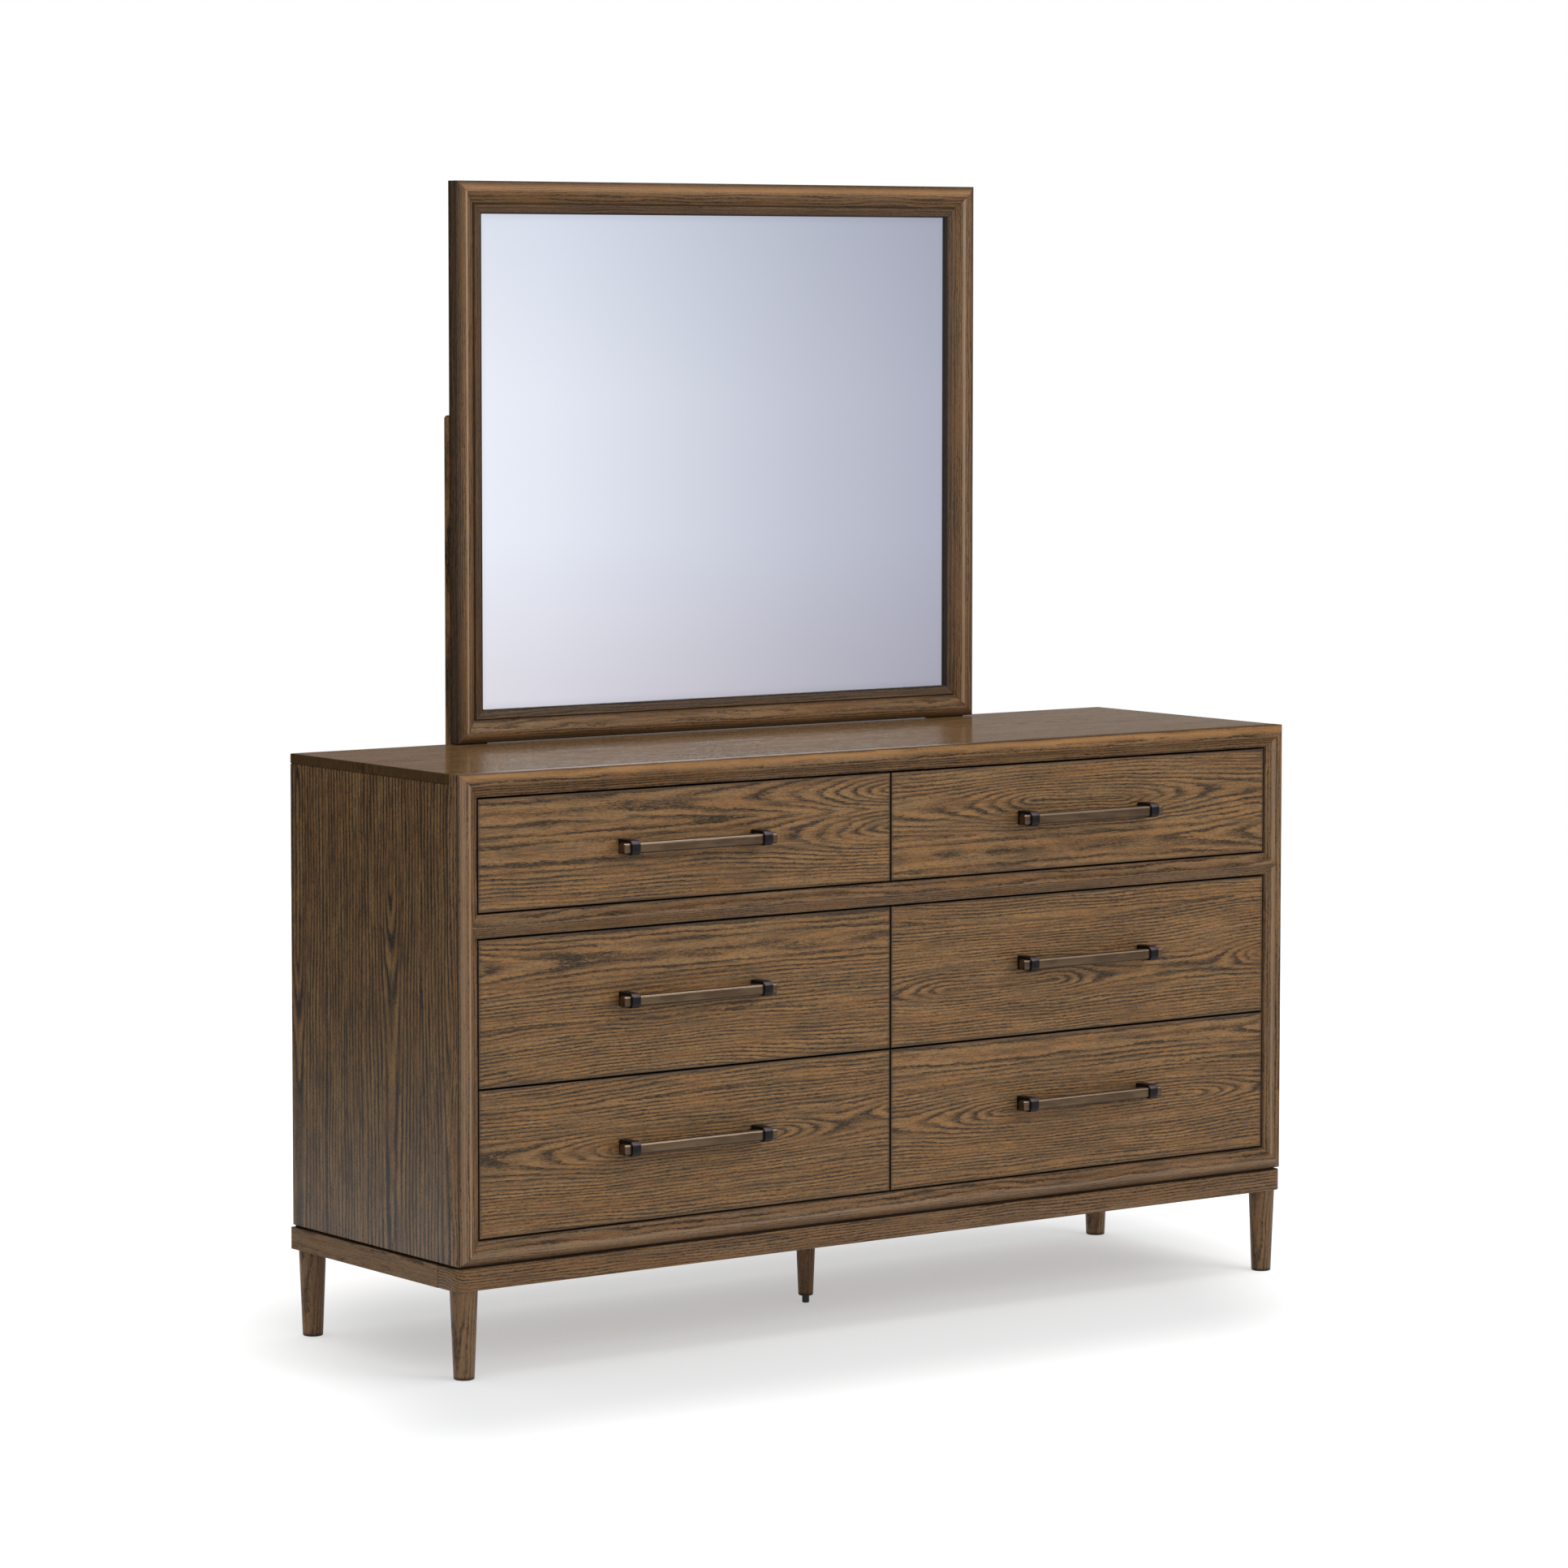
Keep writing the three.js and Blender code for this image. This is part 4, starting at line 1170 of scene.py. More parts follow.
@dataclass
class MirrorFrame:
    """The mirror's mitred frame: cushion, sharp groove, sloping lip and rear rebate."""

    half: float = 533.0
    bottom: float = 943.6
    top: float = 1860.55
    rear: float = 247.65
    side_depth: float = 23.5
    crown: Pair = (16.0, 30.0)
    groove: Pair = (36.5, 16.5)
    lip_outer: Pair = (38.5, 20.0)
    lip_inner: Pair = (53.4, 16.5)
    rebate: Pair = (45.0, 10.5)
    gap: float = MITRE_GAP
    ease: float = 0.6
    side_inset: float = -14.0
    side_band: Pair = (2.0, 1.5)

    def section(self) -> np.ndarray:
        """Closed section of a member, by distance in from its edge and height off its back."""
        front = cushion(self.groove[0], self.crown[0], self.side_depth, self.crown[1],
                        self.groove[1])
        rest = [self.lip_outer, self.lip_inner, (self.lip_inner[0], self.rebate[1]),
                self.rebate, (self.rebate[0], 0.0), (0.0, 0.0)]
        return softened(np.concatenate([front, rest]), self.ease)

    def member(self, upright: bool, sign: int) -> Surface:
        """One member, whose ends lie on the mitres: its ends move in as its section does."""
        outline = self.section()
        inset, height = outline[:, 0], outline[:, 1]
        y = self.rear - height
        if upright:
            x = sign * (self.half - inset)
            rings = [np.stack([x, y, z], -1) for z in (self.bottom + inset, self.top - inset)]
        else:
            z = (self.top - inset) if sign > 0 else (self.bottom + inset)
            rings = mirrored_rings(self.half - self.gap - inset, y, z)
        made = loft(np.stack(rings))
        side = (inset < self.side_band[0]) & (height < self.side_depth - self.side_band[1])
        made.insets = np.tile(np.where(side, self.side_inset, inset), 2)
        return made

    def build(self) -> None:
        """Makes the four members and finishes the glass."""
        # Painted shade on the outer side face and flank, in the groove, on the lip and in the gap
        # at the glass.
        shade_bands = (HighlightShadeBand(self.side_inset, 16.0, 0.9), HighlightShadeBand(0.0, 13.0, 0.75), HighlightShadeBand(36.8, 2.4, 0.7),
                   HighlightShadeBand(45.0, 14.0, 0.6), HighlightShadeBand(53.8, 5.5, 1.6))
        upright, level = (True, Grain.UP_FRONT), (False, Grain.ACROSS_FRONT)
        # Each member's band of painted highlight, partly rub wear, lies where light catches it.
        members = (
            ("left", upright, -1, -600, (HighlightShadeBand(16.5, 3.0, 0.85),)),
            ("right", upright, 1, 470, (HighlightShadeBand(22.5, 3.8, 0.8),)),
            ("top", level, 1, 1940, (HighlightShadeBand(9, 12, 0.5, (168, 122, 76)),)),
            ("bottom", level, -1, 900, ()),
        )
        for seed, (side, (stands, grain), sign, heart, rubs_and_highlights) in enumerate(members, 21):
            node = f"mirror_frame_{side}"
            oak = Oak(f"oak_{node}", grain, (Heart(700, heart, STRAIGHT),), MOULD, 3.6, seed, 280,
                      rubs_and_highlights=rubs_and_highlights, shade_bands=shade_bands, contrast=0.7, coarse=0.8)
            shape = self.member(stands, sign)
            shape.piece(f"{node}_moulded", oak.material(), "case", "mirror_oak", node)
        dress("mirror_glass", SilveredGlass().material())
        log.info("mirror: %d moulded members and its glass", len(members))


@dataclass
class Base:
    """The base: its front rail with round corners, the other rails and the turned legs."""

    half: float = 841.375
    front: float = -247.65
    low: float = 140.5
    high: float = 176.0
    tongue_top: float = 179.5
    setback: float = 8.0
    thickness: float = 22.0
    radius: float = 15.0
    return_length: float = 58.3
    ease: float = 1.3
    leg: Triple = (44.0, 33.0, 2.5)
    leg_place: Pair = (815.975, 224.15)
    centre_leg: Triple = (35.0, 25.0, 2.5)
    centre_place: Pair = (0.0, -10.0)
    centre_foot: float = 12.5
    bore: Pair = (6.3, 46.0)
    axis_hole: float = 0.05
    groove_shade: Pair = (-0.7, 0.4)
    foot_shade: Pair = (7.0, 2.0)

    def rail_plan(self, half: float, face: float, radius: float) -> np.ndarray:
        """Plan of the front rail with its returns, round corners and glued corner blocks."""
        inner = self.half - self.thickness
        rear = self.front + self.thickness
        end = self.front + self.return_length
        block = self.return_length - self.thickness
        left = arc((-half + radius, face + radius), radius, 180, 270, 14)
        right = arc((half - radius, face + radius), radius, 270, 360, 14)
        tail = [[half, end], [inner, end], [inner - block, rear], [-inner + block, rear]]
        return np.concatenate([[[-inner, end], [-half, end]], left, right, tail])

    def front_rail(self) -> Surface:
        """The front rail: its plan at rising heights, drawn in a little at both edges."""
        inward, lift = eased(self.ease, 3)
        levels = [*zip(inward, self.low + lift), *zip(inward[::-1], self.high - lift[::-1]),
                  (self.setback, self.high), (self.setback, self.tongue_top)]
        rings = []
        for margin, z in levels:
            plan = self.rail_plan(self.half - margin, self.front + margin, self.radius - margin)
            rings.append(np.column_stack([plan, np.full(len(plan), z)]))
        return loft(np.stack(rings))

    @staticmethod
    def foot(radius: float, edge: float, bottom: float) -> np.ndarray:
        """Rounded lower edge of a foot: a quarter circle of radius `edge`."""
        return arc((radius - edge, bottom + edge), edge, -90, 0, 8)

    def corner_leg(self, x: float, y: float) -> Surface:
        """A corner leg: straight taper from under the rail to a softly rounded foot."""
        top, foot, edge = self.leg
        profile = np.concatenate([self.foot(foot / 2, edge, 0.0), [[top / 2, self.low]]])
        return turned(profile, (x, y))

    def middle_leg(self) -> Surface:
        """The centre leg, hollow from below for the glide's stem."""
        top, foot, edge = self.centre_leg
        radius, depth = self.bore
        profile = np.concatenate([
            [[radius, self.centre_foot]],
            self.foot(foot / 2, edge, self.centre_foot),
            [[top / 2, self.low], [self.axis_hole, self.low], [self.axis_hole, depth],
             [radius, depth]],
        ])
        return turned(profile, self.centre_place, closed=True)

    def build(self) -> None:
        """Makes the front rail and the legs, and finishes the other rails."""
        # Painted shade in the groove between base and case.
        groove = tuple(self.high + step for step in self.groove_shade)
        joint = self.front + self.return_length + ROW_SHIFT
        back = Oak("oak_base_back", Grain.ACROSS_FRONT, (Heart(0, 60, STRAIGHT),), DEEP, 4.6, 33,
                   200)
        front = replace(back, name="oak_base_front", stain=MOULD, seed=31, depth_centre=-200,
                        shaded_heights=groove, seam_at=joint)
        side = replace(front, name="oak_base_side", grain=Grain.ALONG_SIDE, stain=LEG, seed=32,
                       depth_centre=700, specular=0.12)
        self.front_rail().piece("base_rail_front_rounded", front.material(), "case", "base_oak",
                                "base_rail_front")
        side_finish = side.material()
        for hand in ("left", "right"):
            dress(f"base_rail_{hand}", side_finish)
        dress("base_rail_back", back.material())
        # Painted contact shadow over a dark edge at the foot of each leg.
        leg = Oak("oak_centre_leg", Grain.UP_FRONT, (Heart(60, 24, 400),), LEG, 4.0, 41, 6,
                  shaded_heights=tuple(self.centre_foot + step for step in self.foot_shade),
                  contrast=0.75, coarse=0.8)
        x, y = self.leg_place
        for end, end_sign in (("front", -1), ("back", 1)):
            for hand, sign in (("left", -1), ("right", 1)):
                node = f"leg_{end}_{hand}"
                oak = replace(leg, name=f"oak_{node}", hearts=(Heart(60, sign * x + 26, 400),),
                              seed=34 + sign + 2 * end_sign, depth_centre=end_sign * y + 16,
                              shaded_heights=self.foot_shade)
                self.corner_leg(sign * x, end_sign * y).piece(
                    f"{node}_turned", oak.material(), "case", "leg_oak", node)
        self.middle_leg().piece("centre_leg_turned", leg.material(), "case", "leg_oak",
                                "centre_leg")
        dress("centre_leg_glide", NylonFinish().material())
        log.info("base: front rail and five turned legs")


@dataclass
class Case:
    """The case: its panels, top, divider, bottom, back board and posts."""

    panel_inner: float = 820.0
    top_end: float = 834.0

    def build(self) -> None:
        """Finishes the case's own pieces."""
        top = Oak("oak_top", Grain.ACROSS_TOP, TOP_FIGURE, BROWN, 5.5, 51, gloss=0.14,
                  specular=0.13, relief=0.015, dark_beyond=self.top_end)
        dress("top_panel", top.material())
        for seed, (hand, hearts) in enumerate(SIDE_FIGURES.items(), 52):
            oak = Oak(f"oak_side_{hand}", Grain.UP_SIDE, hearts, DEEP, 9.0, seed, specular=0.6,
                      gloss=0.34, contrast=1.25, coarse=2.0, run=0.6,
                      lining_from=self.panel_inner)
            dress(f"side_panel_{hand}", oak.material())
            post = Oak(f"oak_post_{hand}", Grain.UP_FRONT, (Heart(900, 380, STRAIGHT),), DEEP,
                       5.0, seed + 4, 200)
            dress(f"mirror_post_{hand}", post.material())
        lining = LiningWood("lining_across", Grain.ACROSS_TOP).material()
        dress("bottom_panel", lining)
        dress("base_cross_rail", lining)
        dress("centre_divider", LiningWood("lining_upright", Grain.UP_SIDE).material())
        board = PressedBoard().material()
        dress("back_panel", board)
        dress("mirror_backing", board)
        log.info("case: panels, top, divider, bottom, back and posts")


class Row(Enum):
    """The rows of drawers: the lower edge and height of the fronts, and the pull's rise."""

    LOWER = (219.0, 231.05, 5.3)
    MIDDLE = (453.05, 231.05, 5.3)
    UPPER = (726.6, 176.0, 0.0)


@dataclass
class Drawer:
    """One drawer: front, box, and a bar pull on two brackets."""

    row: Row
    hand: str
    centre: float = 399.7875
    front_half: float = 398.2875
    face: float = -242.0
    box_front: float = -222.0
    box_rear: float = 218.0
    box_wall: float = 12.0
    spacing: float = 256.0
    bracket_width: float = 16.0
    bracket_height: float = 23.5
    bracket_depth: float = 38.5
    bracket_radius: float = 8.0
    bracket_rear_radius: float = 0.4
    bracket_ease: float = 0.8
    bracket_seat: float = 0.05
    bar_size: Pair = (16.0, 17.5)
    bar_radius: float = 4.5
    bar_recess: float = 4.0
    bar_drop: float = 1.0
    bar_overhang: float = 12.0
    bar_ease: float = 2.2
    bar_gap: float = 0.3
    screw: Pair = (4.6, 2.4)
    box_ease: float = 1.2
    first_seed: int = 60

    @property
    def name(self) -> str:
        """Row and hand, as the model names them."""
        return f"{self.row.name.lower()}_{self.hand}"

    @property
    def sign(self) -> int:
        """-1 on the left and 1 on the right."""
        return -1 if self.hand == "left" else 1

    def bar_section(self, growth: float) -> np.ndarray:
        """The bar's section, grown by a margin, as pairs of y and z."""
        deep, tall = self.bar_size
        front = self.face - self.bracket_depth + self.bar_recess
        low = (front - growth, -self.bar_drop - tall / 2 - growth)
        high = (front + deep + growth, -self.bar_drop + tall / 2 + growth)
        return rounded_rectangle(low, high, (self.bar_radius + growth,) * 4)

    def bar(self) -> Surface:
        """The bar: its section along x, drawn in round both ends by a quarter circle."""
        half = (self.spacing + self.bracket_width) / 2 + self.bar_overhang
        inward, run = eased(self.bar_ease, 6)
        growth = np.append(-inward, 0.0)
        start = np.append(run - half, self.bar_ease + 0.5 - half)
        grown = np.concatenate([growth, growth[::-1]])
        places = np.concatenate([start, -start[::-1]])
        rings = [plane_ring(x, self.bar_section(g)) for g, x in zip(grown, places)]
        made = loft(np.stack(rings))
        # The upper front corner carries the share of painted highlight, the lower front corner,
        # below 0, that of painted shade.
        lit_and_shaded_corners = self.corner_share(1) - self.corner_share(2)
        made.insets = np.tile(lit_and_shaded_corners, len(rings))
        return made

    @staticmethod
    def corner_share(chosen: int, steps: int = 8) -> np.ndarray:
        """sin 2t round the quarter turn of one corner of a rounded rectangle, else 0."""
        share = np.sin(2 * np.linspace(0, math.pi / 2, steps + 1))
        return np.concatenate([share * (corner == chosen) for corner in range(4)])

    def bracket(self) -> Surface:
        """A bracket: its eased outline out along x, and back through the bar's hole."""
        half = self.bracket_height / 2
        inward, run = eased(self.bracket_ease, 3)
        start = run - self.bracket_width / 2
        rings = []
        for margin, x in [*zip(inward, start), *zip(inward[::-1], -start[::-1])]:
            low = (self.face - self.bracket_depth + margin, -half + margin)
            high = (self.face - self.bracket_seat, half - margin)
            nose = self.bracket_radius - margin
            rear = self.bracket_rear_radius
            rings.append(plane_ring(x, rounded_rectangle(low, high, (rear, nose, nose, rear))))
        outside = len(rings)
        hole = self.bar_section(self.bar_gap)
        rings += [plane_ring(x, hole) for x in (-start[0], start[0])]
        made = loft(np.stack(rings), closed=True)
        # Only the upper front corner carries the painted highlight's share.
        nose = self.corner_share(1)
        made.insets = np.concatenate([np.tile(nose, outside), np.zeros(2 * len(hole))])
        return made

    def screws(self) -> Surface:
        """The two screw heads inside the box, on its front wall."""
        seat = self.box_front + self.box_wall
        return Surface.union(screw_head(*self.screw).moved(side * self.spacing / 2, seat)
                             for side in (-1, 1))

    def build(self, bronze: bpy.types.Material, black: bpy.types.Material,
              steel: bpy.types.Material, lining: bpy.types.Material) -> None:
        """Finishes the front and box, and makes the pull and its screws.

        Args:
            bronze, black, steel: the finishes of the bar, the brackets and the screws.
            lining: the finish of the box.
        """
        bottom, height, rise = self.row.value
        x, z = self.sign * self.centre, bottom + height / 2 + rise
        rim = ((x - self.front_half, bottom), (x + self.front_half, bottom + height))
        seed = self.first_seed + 5 * list(Row).index(self.row) + self.sign
        # Glaze and painted shade darken the front near its rim.
        oak = Oak(f"oak_front_{self.name}", Grain.ACROSS_FRONT, FRONT_FIGURES[self.name], FRONT,
                  5.4, seed, rim=rim, contrast=1.12)
        body = f"{self.name}_drawer"
        dress(f"{self.name}_drawer_front", oak.material())
        ease_edges(dress(f"{self.name}_drawer_box", lining), self.box_ease)
        node = f"{self.name}_pull_bar"
        self.bar().moved(x, 0, z).piece(f"{node}_fine", bronze, body, "pull_bronze", node)
        for end, side in (("left", -1), ("right", 1)):
            node = f"{self.name}_pull_bracket_{end}"
            shape = self.bracket().moved(x + side * self.spacing / 2, 0, z)
            shape.piece(f"{node}_fine", black, body, "bracket_black", node)
        self.screws().moved(x, 0, z).piece(f"{self.name}_pull_screws", steel, body,
                                           "bracket_black")
        log.info("drawer %s: front, box, pull and screws", self.name)


def screw_head(radius: float, height: float, rings: int = 12, sides: int = 32,
               recess: Triple = (0.16, 0.62, 0.5)) -> Surface:
    """A pan head that faces back, with a cross-shaped recess sunk into it.

    With s the distance from the axis over the radius, the head stands height (1 - s^6)^(1/2),
    less the recess's depth where the smaller of |x| and |z| is under the slot's half width.

    Args:
        radius, height: the head's size.
        rings, sides: the steps out from the axis and round it.
        recess: its slots' half width and reach over the radius, and its depth over the height.

    Returns:
        The closed head, centred on the origin, on the plane y = 0.
    """
    share = np.linspace(0.02, 1, rings) ** 0.8
    angle = np.linspace(0, 2 * math.pi, sides, endpoint=False)
    s, t = np.meshgrid(share, angle, indexing="ij")
    x, z = radius * s * np.cos(t), radius * s * np.sin(t)
    half, reach, depth = recess
    slot = (np.minimum(np.abs(x), np.abs(z)) < half * radius) & (s < reach)
    y = height * np.sqrt(np.maximum(1 - s**6, 0)) - np.where(slot, depth * height, 0)
    foot = np.stack([x[-1], np.full(sides, -0.2), z[-1]], -1)[None]
    return loft(np.concatenate([np.stack([x, y, z], -1), foot]))


@dataclass
class RearHardware:
    """Screws through the posts, glazing points behind the mirror, and the back board's pins."""

    post_rear: float = 265.65
    post_x: float = 495.7
    post_heights: tuple[float, ...] = (585.0, 720.0, 860.0, 1010.0, 1230.0, 1435.0)
    backing_rear: float = 244.15
    backing_half: float = 487.0
    backing_low: float = 989.6
    backing_high: float = 1814.55
    board_rear: float = 247.65
    board_half: float = 823.0
    board_low: float = 189.0
    board_high: float = 919.0
    post_screw: Pair = (4.2, 1.6)
    stagger: float = 9.0
    tabs_across: tuple[float, ...] = (-360.0, -120.0, 120.0, 360.0)
    tabs_up: tuple[float, ...] = (1110.0, 1300.0, 1500.0, 1690.0)
    tab_size: Triple = (14.0, 9.0, 0.8)
    tab_lift: float = 1.2
    pin_clearance: float = 45.0
    pins_across: int = 12
    pins_up: int = 6

    def post_screws(self, sign: int) -> Surface:
        """One post's screws, in a slightly staggered line."""
        return Surface.union(
            screw_head(*self.post_screw).moved(
                sign * (self.post_x + self.stagger * (-1) ** k), self.post_rear, z)
            for k, z in enumerate(self.post_heights))

    def glazing_points(self) -> Surface:
        """Thin bent tabs that hold the backing board in its rebate, along all four sides."""
        ends = ((self.backing_low, -1.0), (self.backing_high, 1.0))
        flat = [self.tab(x, z, 0.0, out) for x in self.tabs_across for z, out in ends]
        sides = [self.tab(out * self.backing_half, z, out, 0.0)
                 for out in (-1.0, 1.0) for z in self.tabs_up]
        return Surface.union(flat + sides)

    def tab(self, x: float, z: float, out_x: float, out_z: float) -> Surface:
        """A tab whose outer end sits at the board's edge and whose inner end lifts and narrows.

        At a share s of its length in from the edge it has risen by lift s^3, and its width is
        1 - 0.3 s^2 of the full one.

        Args:
            x, z: the point on the board's edge.
            out_x, out_z: the direction out over that edge.

        Returns:
            The closed tab.
        """
        length, width, thickness = self.tab_size
        share = np.linspace(1.0, 0.0, 8)[:, None]
        out, side = np.array([out_x, out_z]), np.array([-out_z, out_x])
        centre = np.array([x, z]) - length * share * out
        half = width / 2 * (1 - 0.3 * share**2) * side
        low = self.backing_rear + 0.05 + self.tab_lift * share**3
        high = low + thickness
        corners = ((centre + half, low), (centre - half, low), (centre - half, high),
                   (centre + half, high))
        rings = [np.concatenate([place[:, :1], depth, place[:, 1:]], 1) for place, depth in corners]
        return loft(np.stack(rings, 1)).outward()

    def board_pins(self) -> Surface:
        """Pin heads round the edge of the back board, clear of the posts."""
        along = np.linspace(-self.board_half, self.board_half, self.pins_across)
        up = np.linspace(self.board_low, self.board_high, self.pins_up)[1:-1]
        spots = [(x, z) for x in along for z in (self.board_low, self.board_high)
                 if z < self.board_high or abs(abs(x) - self.post_x) > self.pin_clearance]
        spots += [(side * self.board_half, z) for side in (-1, 1) for z in up]
        profile = np.array([[0.1, 0.55], [0.9, 0.5], [1.5, 0.25], [1.7, 0.0], [1.7, -0.3]])
        pin = turned(profile, (0.0, 0.0), 16)
        pin.points = pin.points[:, [0, 2, 1]]
        return Surface.union(pin.outward().moved(x, self.board_rear, z) for x, z in spots)

    def build(self, steel: bpy.types.Material) -> None:
        """Makes the three kinds of small fittings behind the piece."""
        fittings = {
            "post_screws_left": self.post_screws(-1),
            "post_screws_right": self.post_screws(1),
            "glazing_points": self.glazing_points(),
            "back_board_pins": self.board_pins(),
        }
        for name, shape in fittings.items():
            shape.piece(name, steel, "case", "bracket_black")
        log.info("rear fittings: screws, glazing points and pins")


# Stage


@dataclass(frozen=True)
class Lamp:
    """A soft lamp: where it hangs, its width and height, both in metres, and its watts."""

    name: str
    place: Triple
    size: Pair
    power: float
    aim: Triple = (0.0, 0.0, 0.8)

    def hang(self) -> None:
        """Hangs the lamp, so that it points at the middle of the piece."""
        data = bpy.data.lights.new(self.name, "AREA")
        data.shape = "RECTANGLE"
        data.size, data.size_y = self.size
        data.energy = self.power
        made = link(self.name, data)
        made.location = self.place
        line = Vector(self.aim) - Vector(self.place)
        made.rotation_euler = line.to_track_quat("-Z", "Y").to_euler()


# What gloss sees of the room: the wall's display colours by azimuth, and its share by elevation,
# both in degrees. The wall falls evenly from white at 33 to a cool grey at 37.7, and its light is
# full from -2.6 to -1.2.
WALL_TONES = (
    (-180, (60, 58, 58)), (-125, (52, 50, 50)), (-80, (225, 226, 230)), (-40, (252, 252, 253)),
    (31, (250, 252, 255)), (33, (240, 245, 255)), (37.7, (175, 178, 194)),
    (45, (160, 162, 176)), (90, (150, 150, 154)), (125, (232, 230, 229)),
    (142.5, (236, 233, 233)), (147.5, (216, 205, 200)),
)
WALL_LEVELS = (
    (-4.6, (0.86, 0.79, 0.78)), (-2.6, (1.0, 1.0, 1.0)), (-1.2, (1.0, 1.0, 1.0)),
    (0.6, (0.88, 0.89, 0.91)), (2.2, (0.55, 0.53, 0.52)), (5.0, (0.22, 0.195, 0.17)),
)
LAMPS = (
    Lamp("key", (2.6, -4.6, 3.4), (3.0, 2.4), 90.0),
    Lamp("overhead", (0.4, -0.9, 4.4), (2.6, 1.4), 34.0),
    Lamp("fill", (-4.2, -3.6, 2.2), (2.4, 2.4), 18.0),
)


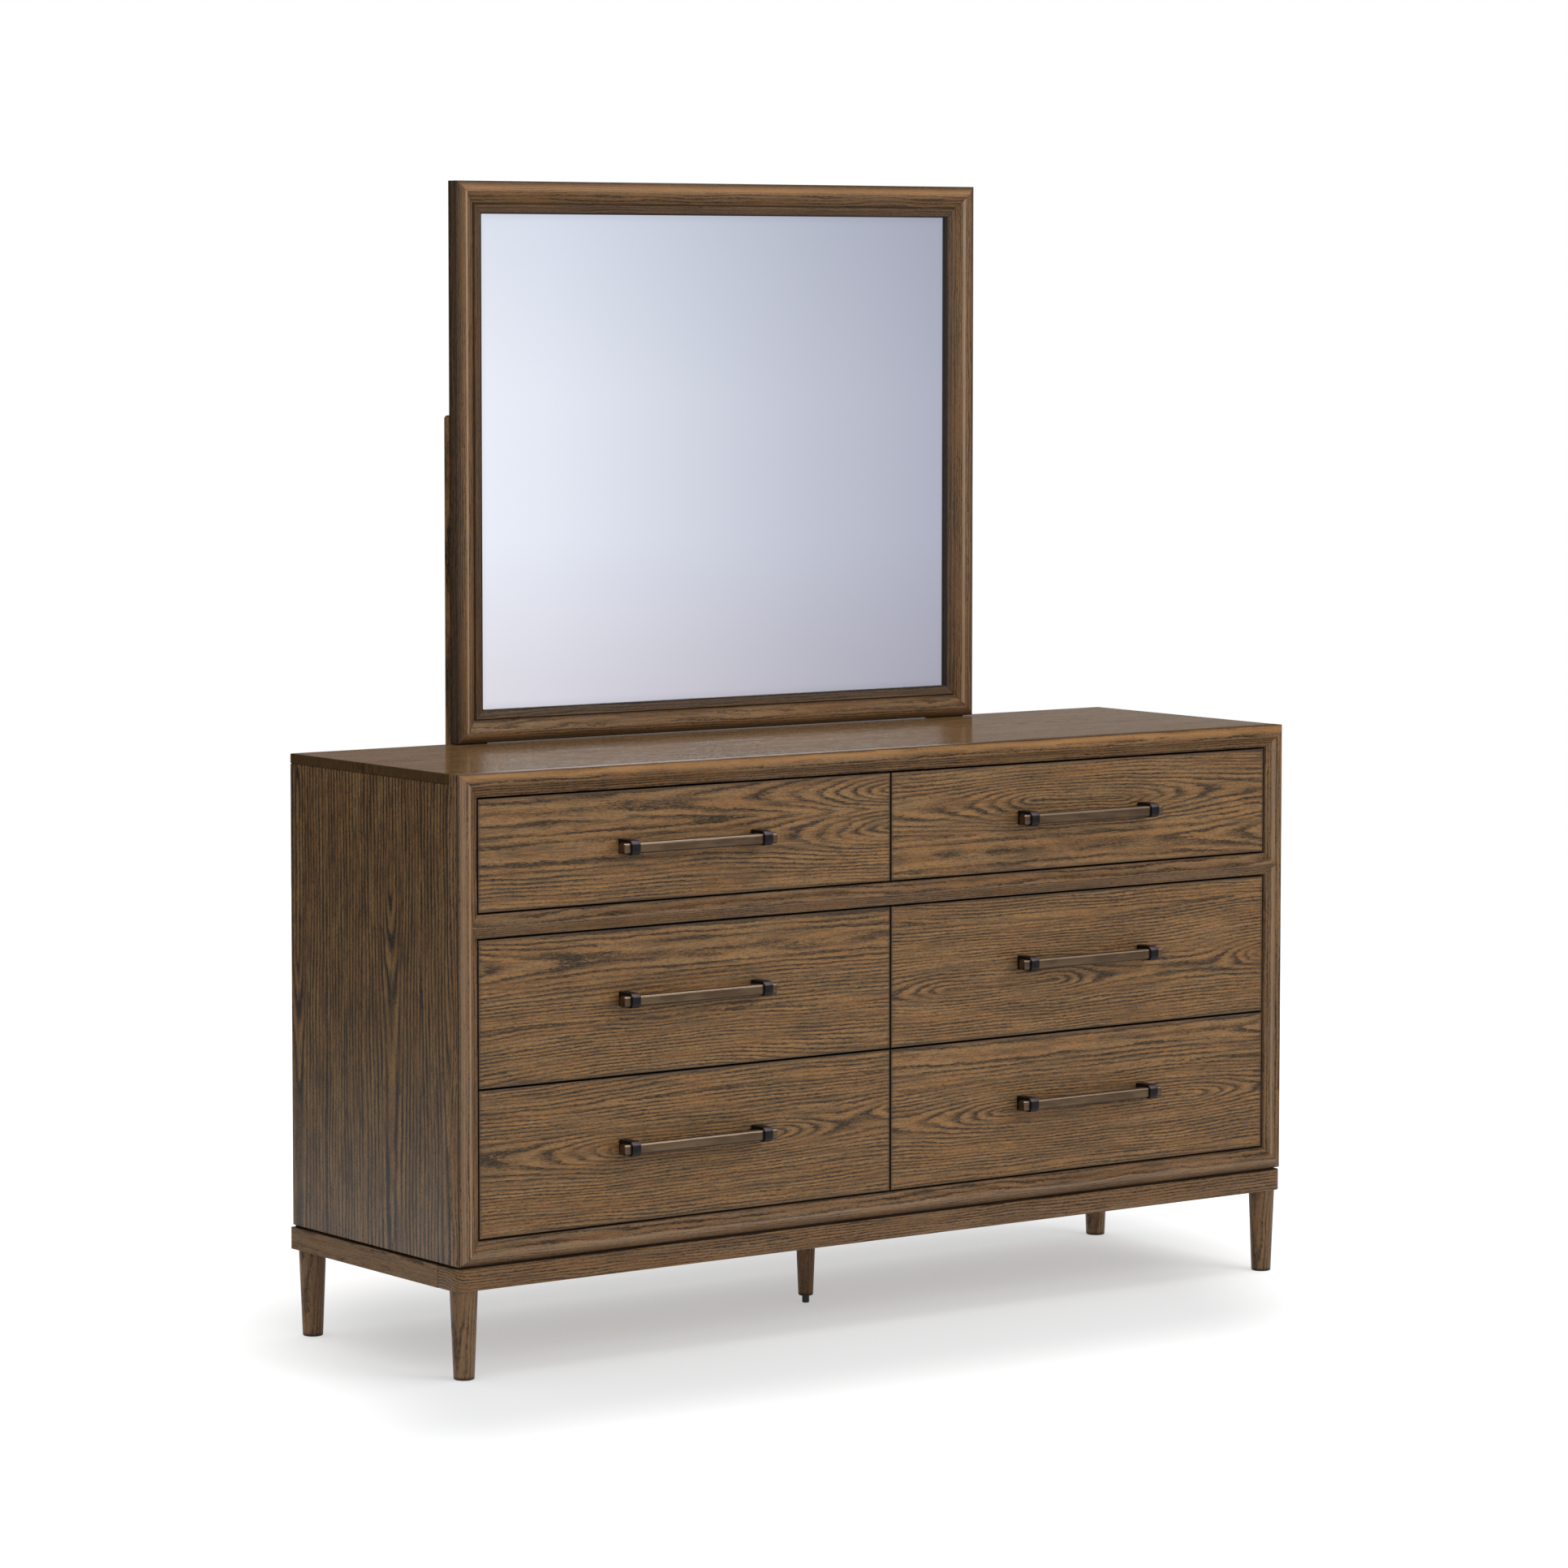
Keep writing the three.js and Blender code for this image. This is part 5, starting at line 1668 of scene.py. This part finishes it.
@dataclass
class Studio:
    """Camera, floor, lamps and surroundings.

    The floor's places are millimetres from the model's origin. Its painted shadow lies under a
    skewed rectangle and fades beyond it.
    """

    lens: float = 127.70
    sensor: float = 36.0
    place: Triple = (-5.44702, -7.38426, 1.69395)
    tilt: float = 85.820
    heading: float = -35.996
    shift: Pair = (0.0124, -0.06)
    reach: float = 100.0
    floor_half: float = 6.0
    level_span: float = 16.0
    level_zero: float = 0.375
    backdrop: Colour = (230, 230, 230)
    lit_fall: Pair = (900.0, 4200.0)
    ahead_rise: Pair = (700.0, 2400.0)
    shadow_centre: Pair = (-30.0, -90.0)
    shadow_half: Pair = (670.0, 340.0)
    shadow_skew: float = 0.45
    shadow_fade: Pair = (20.0, 480.0)

    def camera(self) -> None:
        """Stands the camera where the photograph was taken from."""
        data = bpy.data.cameras.new("view")
        data.sensor_width = self.sensor
        data.lens = self.lens
        data.shift_x, data.shift_y = self.shift
        data.clip_end = self.reach
        made = link("view", data)
        made.location = self.place
        made.rotation_euler = (math.radians(self.tilt), 0.0, math.radians(self.heading))
        bpy.context.scene.camera = made

    def floor_finish(self) -> bpy.types.Material:
        """A pale floor.

        To the camera it is grey near the piece, as painted shadow, and white away from it; the
        lamps' own shadow falls on it too. To gloss it glows near the piece, is dim further off, and
        glows warm
        far in front: painted light that the piece's gloss reflects.

        Returns:
            The finished material.
        """
        graph = Graph.material("pale_floor")
        seen, gloss = graph.rays()
        point = graph.place()
        x, y, _ = graph.parts(point)
        near = 1.0 - graph.vector("LENGTH", point, out="Value").rise(*self.lit_fall)
        ahead = (0.0 - y).rise(*self.ahead_rise)
        (centre_x, centre_y), (half_x, half_y) = self.shadow_centre, self.shadow_half
        out_x = (abs(x - y * self.shadow_skew - centre_x) - half_x).most(0.0)
        out_y = (abs(y - centre_y) - half_y).most(0.0)
        outside = graph.vector("LENGTH", graph.combined(out_x, out_y, 0.0), out="Value")
        # Painted shadow: 1 over a skewed rectangle round the piece, fading beyond it.
        beside = 1.0 - outside.rise(*self.shadow_fade)
        pale, dim = grey(0.72), grey(0.05)
        mirrored = graph.mixed(ahead, graph.mixed(near, dim, pale), dim)
        tone = graph.mixed(gloss, pale, mirrored)
        # To the camera the floor is greyer near the piece, as painted shadow.
        tone = graph.mixed(seen, tone, graph.mixed(beside, grey(0.7), (0.45, 0.455, 0.46)))
        # Painted light: to gloss the floor glows near the piece and warm far in front; to the
        # camera its glow dims near the piece, as painted shadow.
        glow = graph.mixed(near * gloss, grey(0.0), grey(0.42))
        glow = graph.mixed(ahead * gloss, glow, (0.8, 0.735, 0.725))
        glow = graph.mixed(seen, glow, graph.mixed(beside, grey(0.6), grey(0.41)))
        return graph.finished({
            "Base Color": tone,
            "Roughness": 1.0,
            "Specular IOR Level": 0.0,
            "Emission Color": glow,
            "Emission Strength": 1.0,
        })

    def floor(self) -> None:
        """Lays a pale floor with a painted soft shadow, on which the lamps' shadow falls too."""
        half = self.floor_half
        mesh = bpy.data.meshes.new("floor")
        mesh.from_pydata([(-half, -half, 0), (half, -half, 0), (half, half, 0), (-half, half, 0)],
                         [], [(0, 1, 2, 3)])
        mesh.materials.append(self.floor_finish())
        made = link("floor", mesh)

    def surroundings(self) -> None:
        """White to the camera; to gloss a wall that runs from white to a cool grey by azimuth."""
        world = bpy.data.worlds.new("surroundings")
        bpy.context.scene.world = world
        graph = Graph(world)
        x, y, z = graph.parts(graph.add("ShaderNodeTexCoord", {}, {}, "Generated"))
        turn = graph.maths("ARCTAN2", x, 0.0 - y) / (2 * math.pi) + 0.5
        tones = [(degrees / 360 + 0.5, shade(*tone)) for degrees, tone in WALL_TONES]
        lift = z.arcsine() * (math.degrees(1) / self.level_span) + self.level_zero
        levels = [(degrees / self.level_span + self.level_zero, tone)
                  for degrees, tone in WALL_LEVELS]
        tone, level = (graph.add("ShaderNodeValToRGB", {"stops": stops}, {"Fac": place}, "Color")
                       for stops, place in ((tones, turn), (levels, lift)))
        seen, gloss = graph.rays()
        wall_colour = graph.mixed(1.0, tone, level, "MULTIPLY")
        colour = graph.mixed(gloss, shade(*self.backdrop), wall_colour)
        colour = graph.mixed(seen, colour, grey(1.0))
        light = graph.add("ShaderNodeBackground", {}, {"Color": colour, "Strength": 1.0})
        graph.node("ShaderNodeOutputWorld", {}, {"Surface": light})

    def build(self) -> None:
        """Sets up the whole studio."""
        self.camera()
        self.floor()
        self.surroundings()
        for lamp in LAMPS:
            lamp.hang()
        bpy.context.scene.view_settings.view_transform = "Standard"
        log.info("studio: camera, floor, lamps and surroundings")


def main() -> None:
    """Builds the studio and every sub-assembly in order."""
    logging.basicConfig(level=logging.INFO, format="%(message)s")
    Studio().build()
    bronze, black = BronzeFinish().material(), BlackMetal().material()
    steel = SteelFinish().material()
    lining = LiningWood("lining_drawers", Grain.ALONG_SIDE,
                        (Drawer.box_front, Drawer.box_rear - Drawer.box_wall)).material()
    Base().build()
    Case().build()
    FaceFrame().build()
    for hand in ("left", "right"):
        for row in Row:
            Drawer(row, hand).build(bronze, black, steel, lining)
    MirrorFrame().build()
    RearHardware().build(steel)


if __name__ == "__main__":
    main()
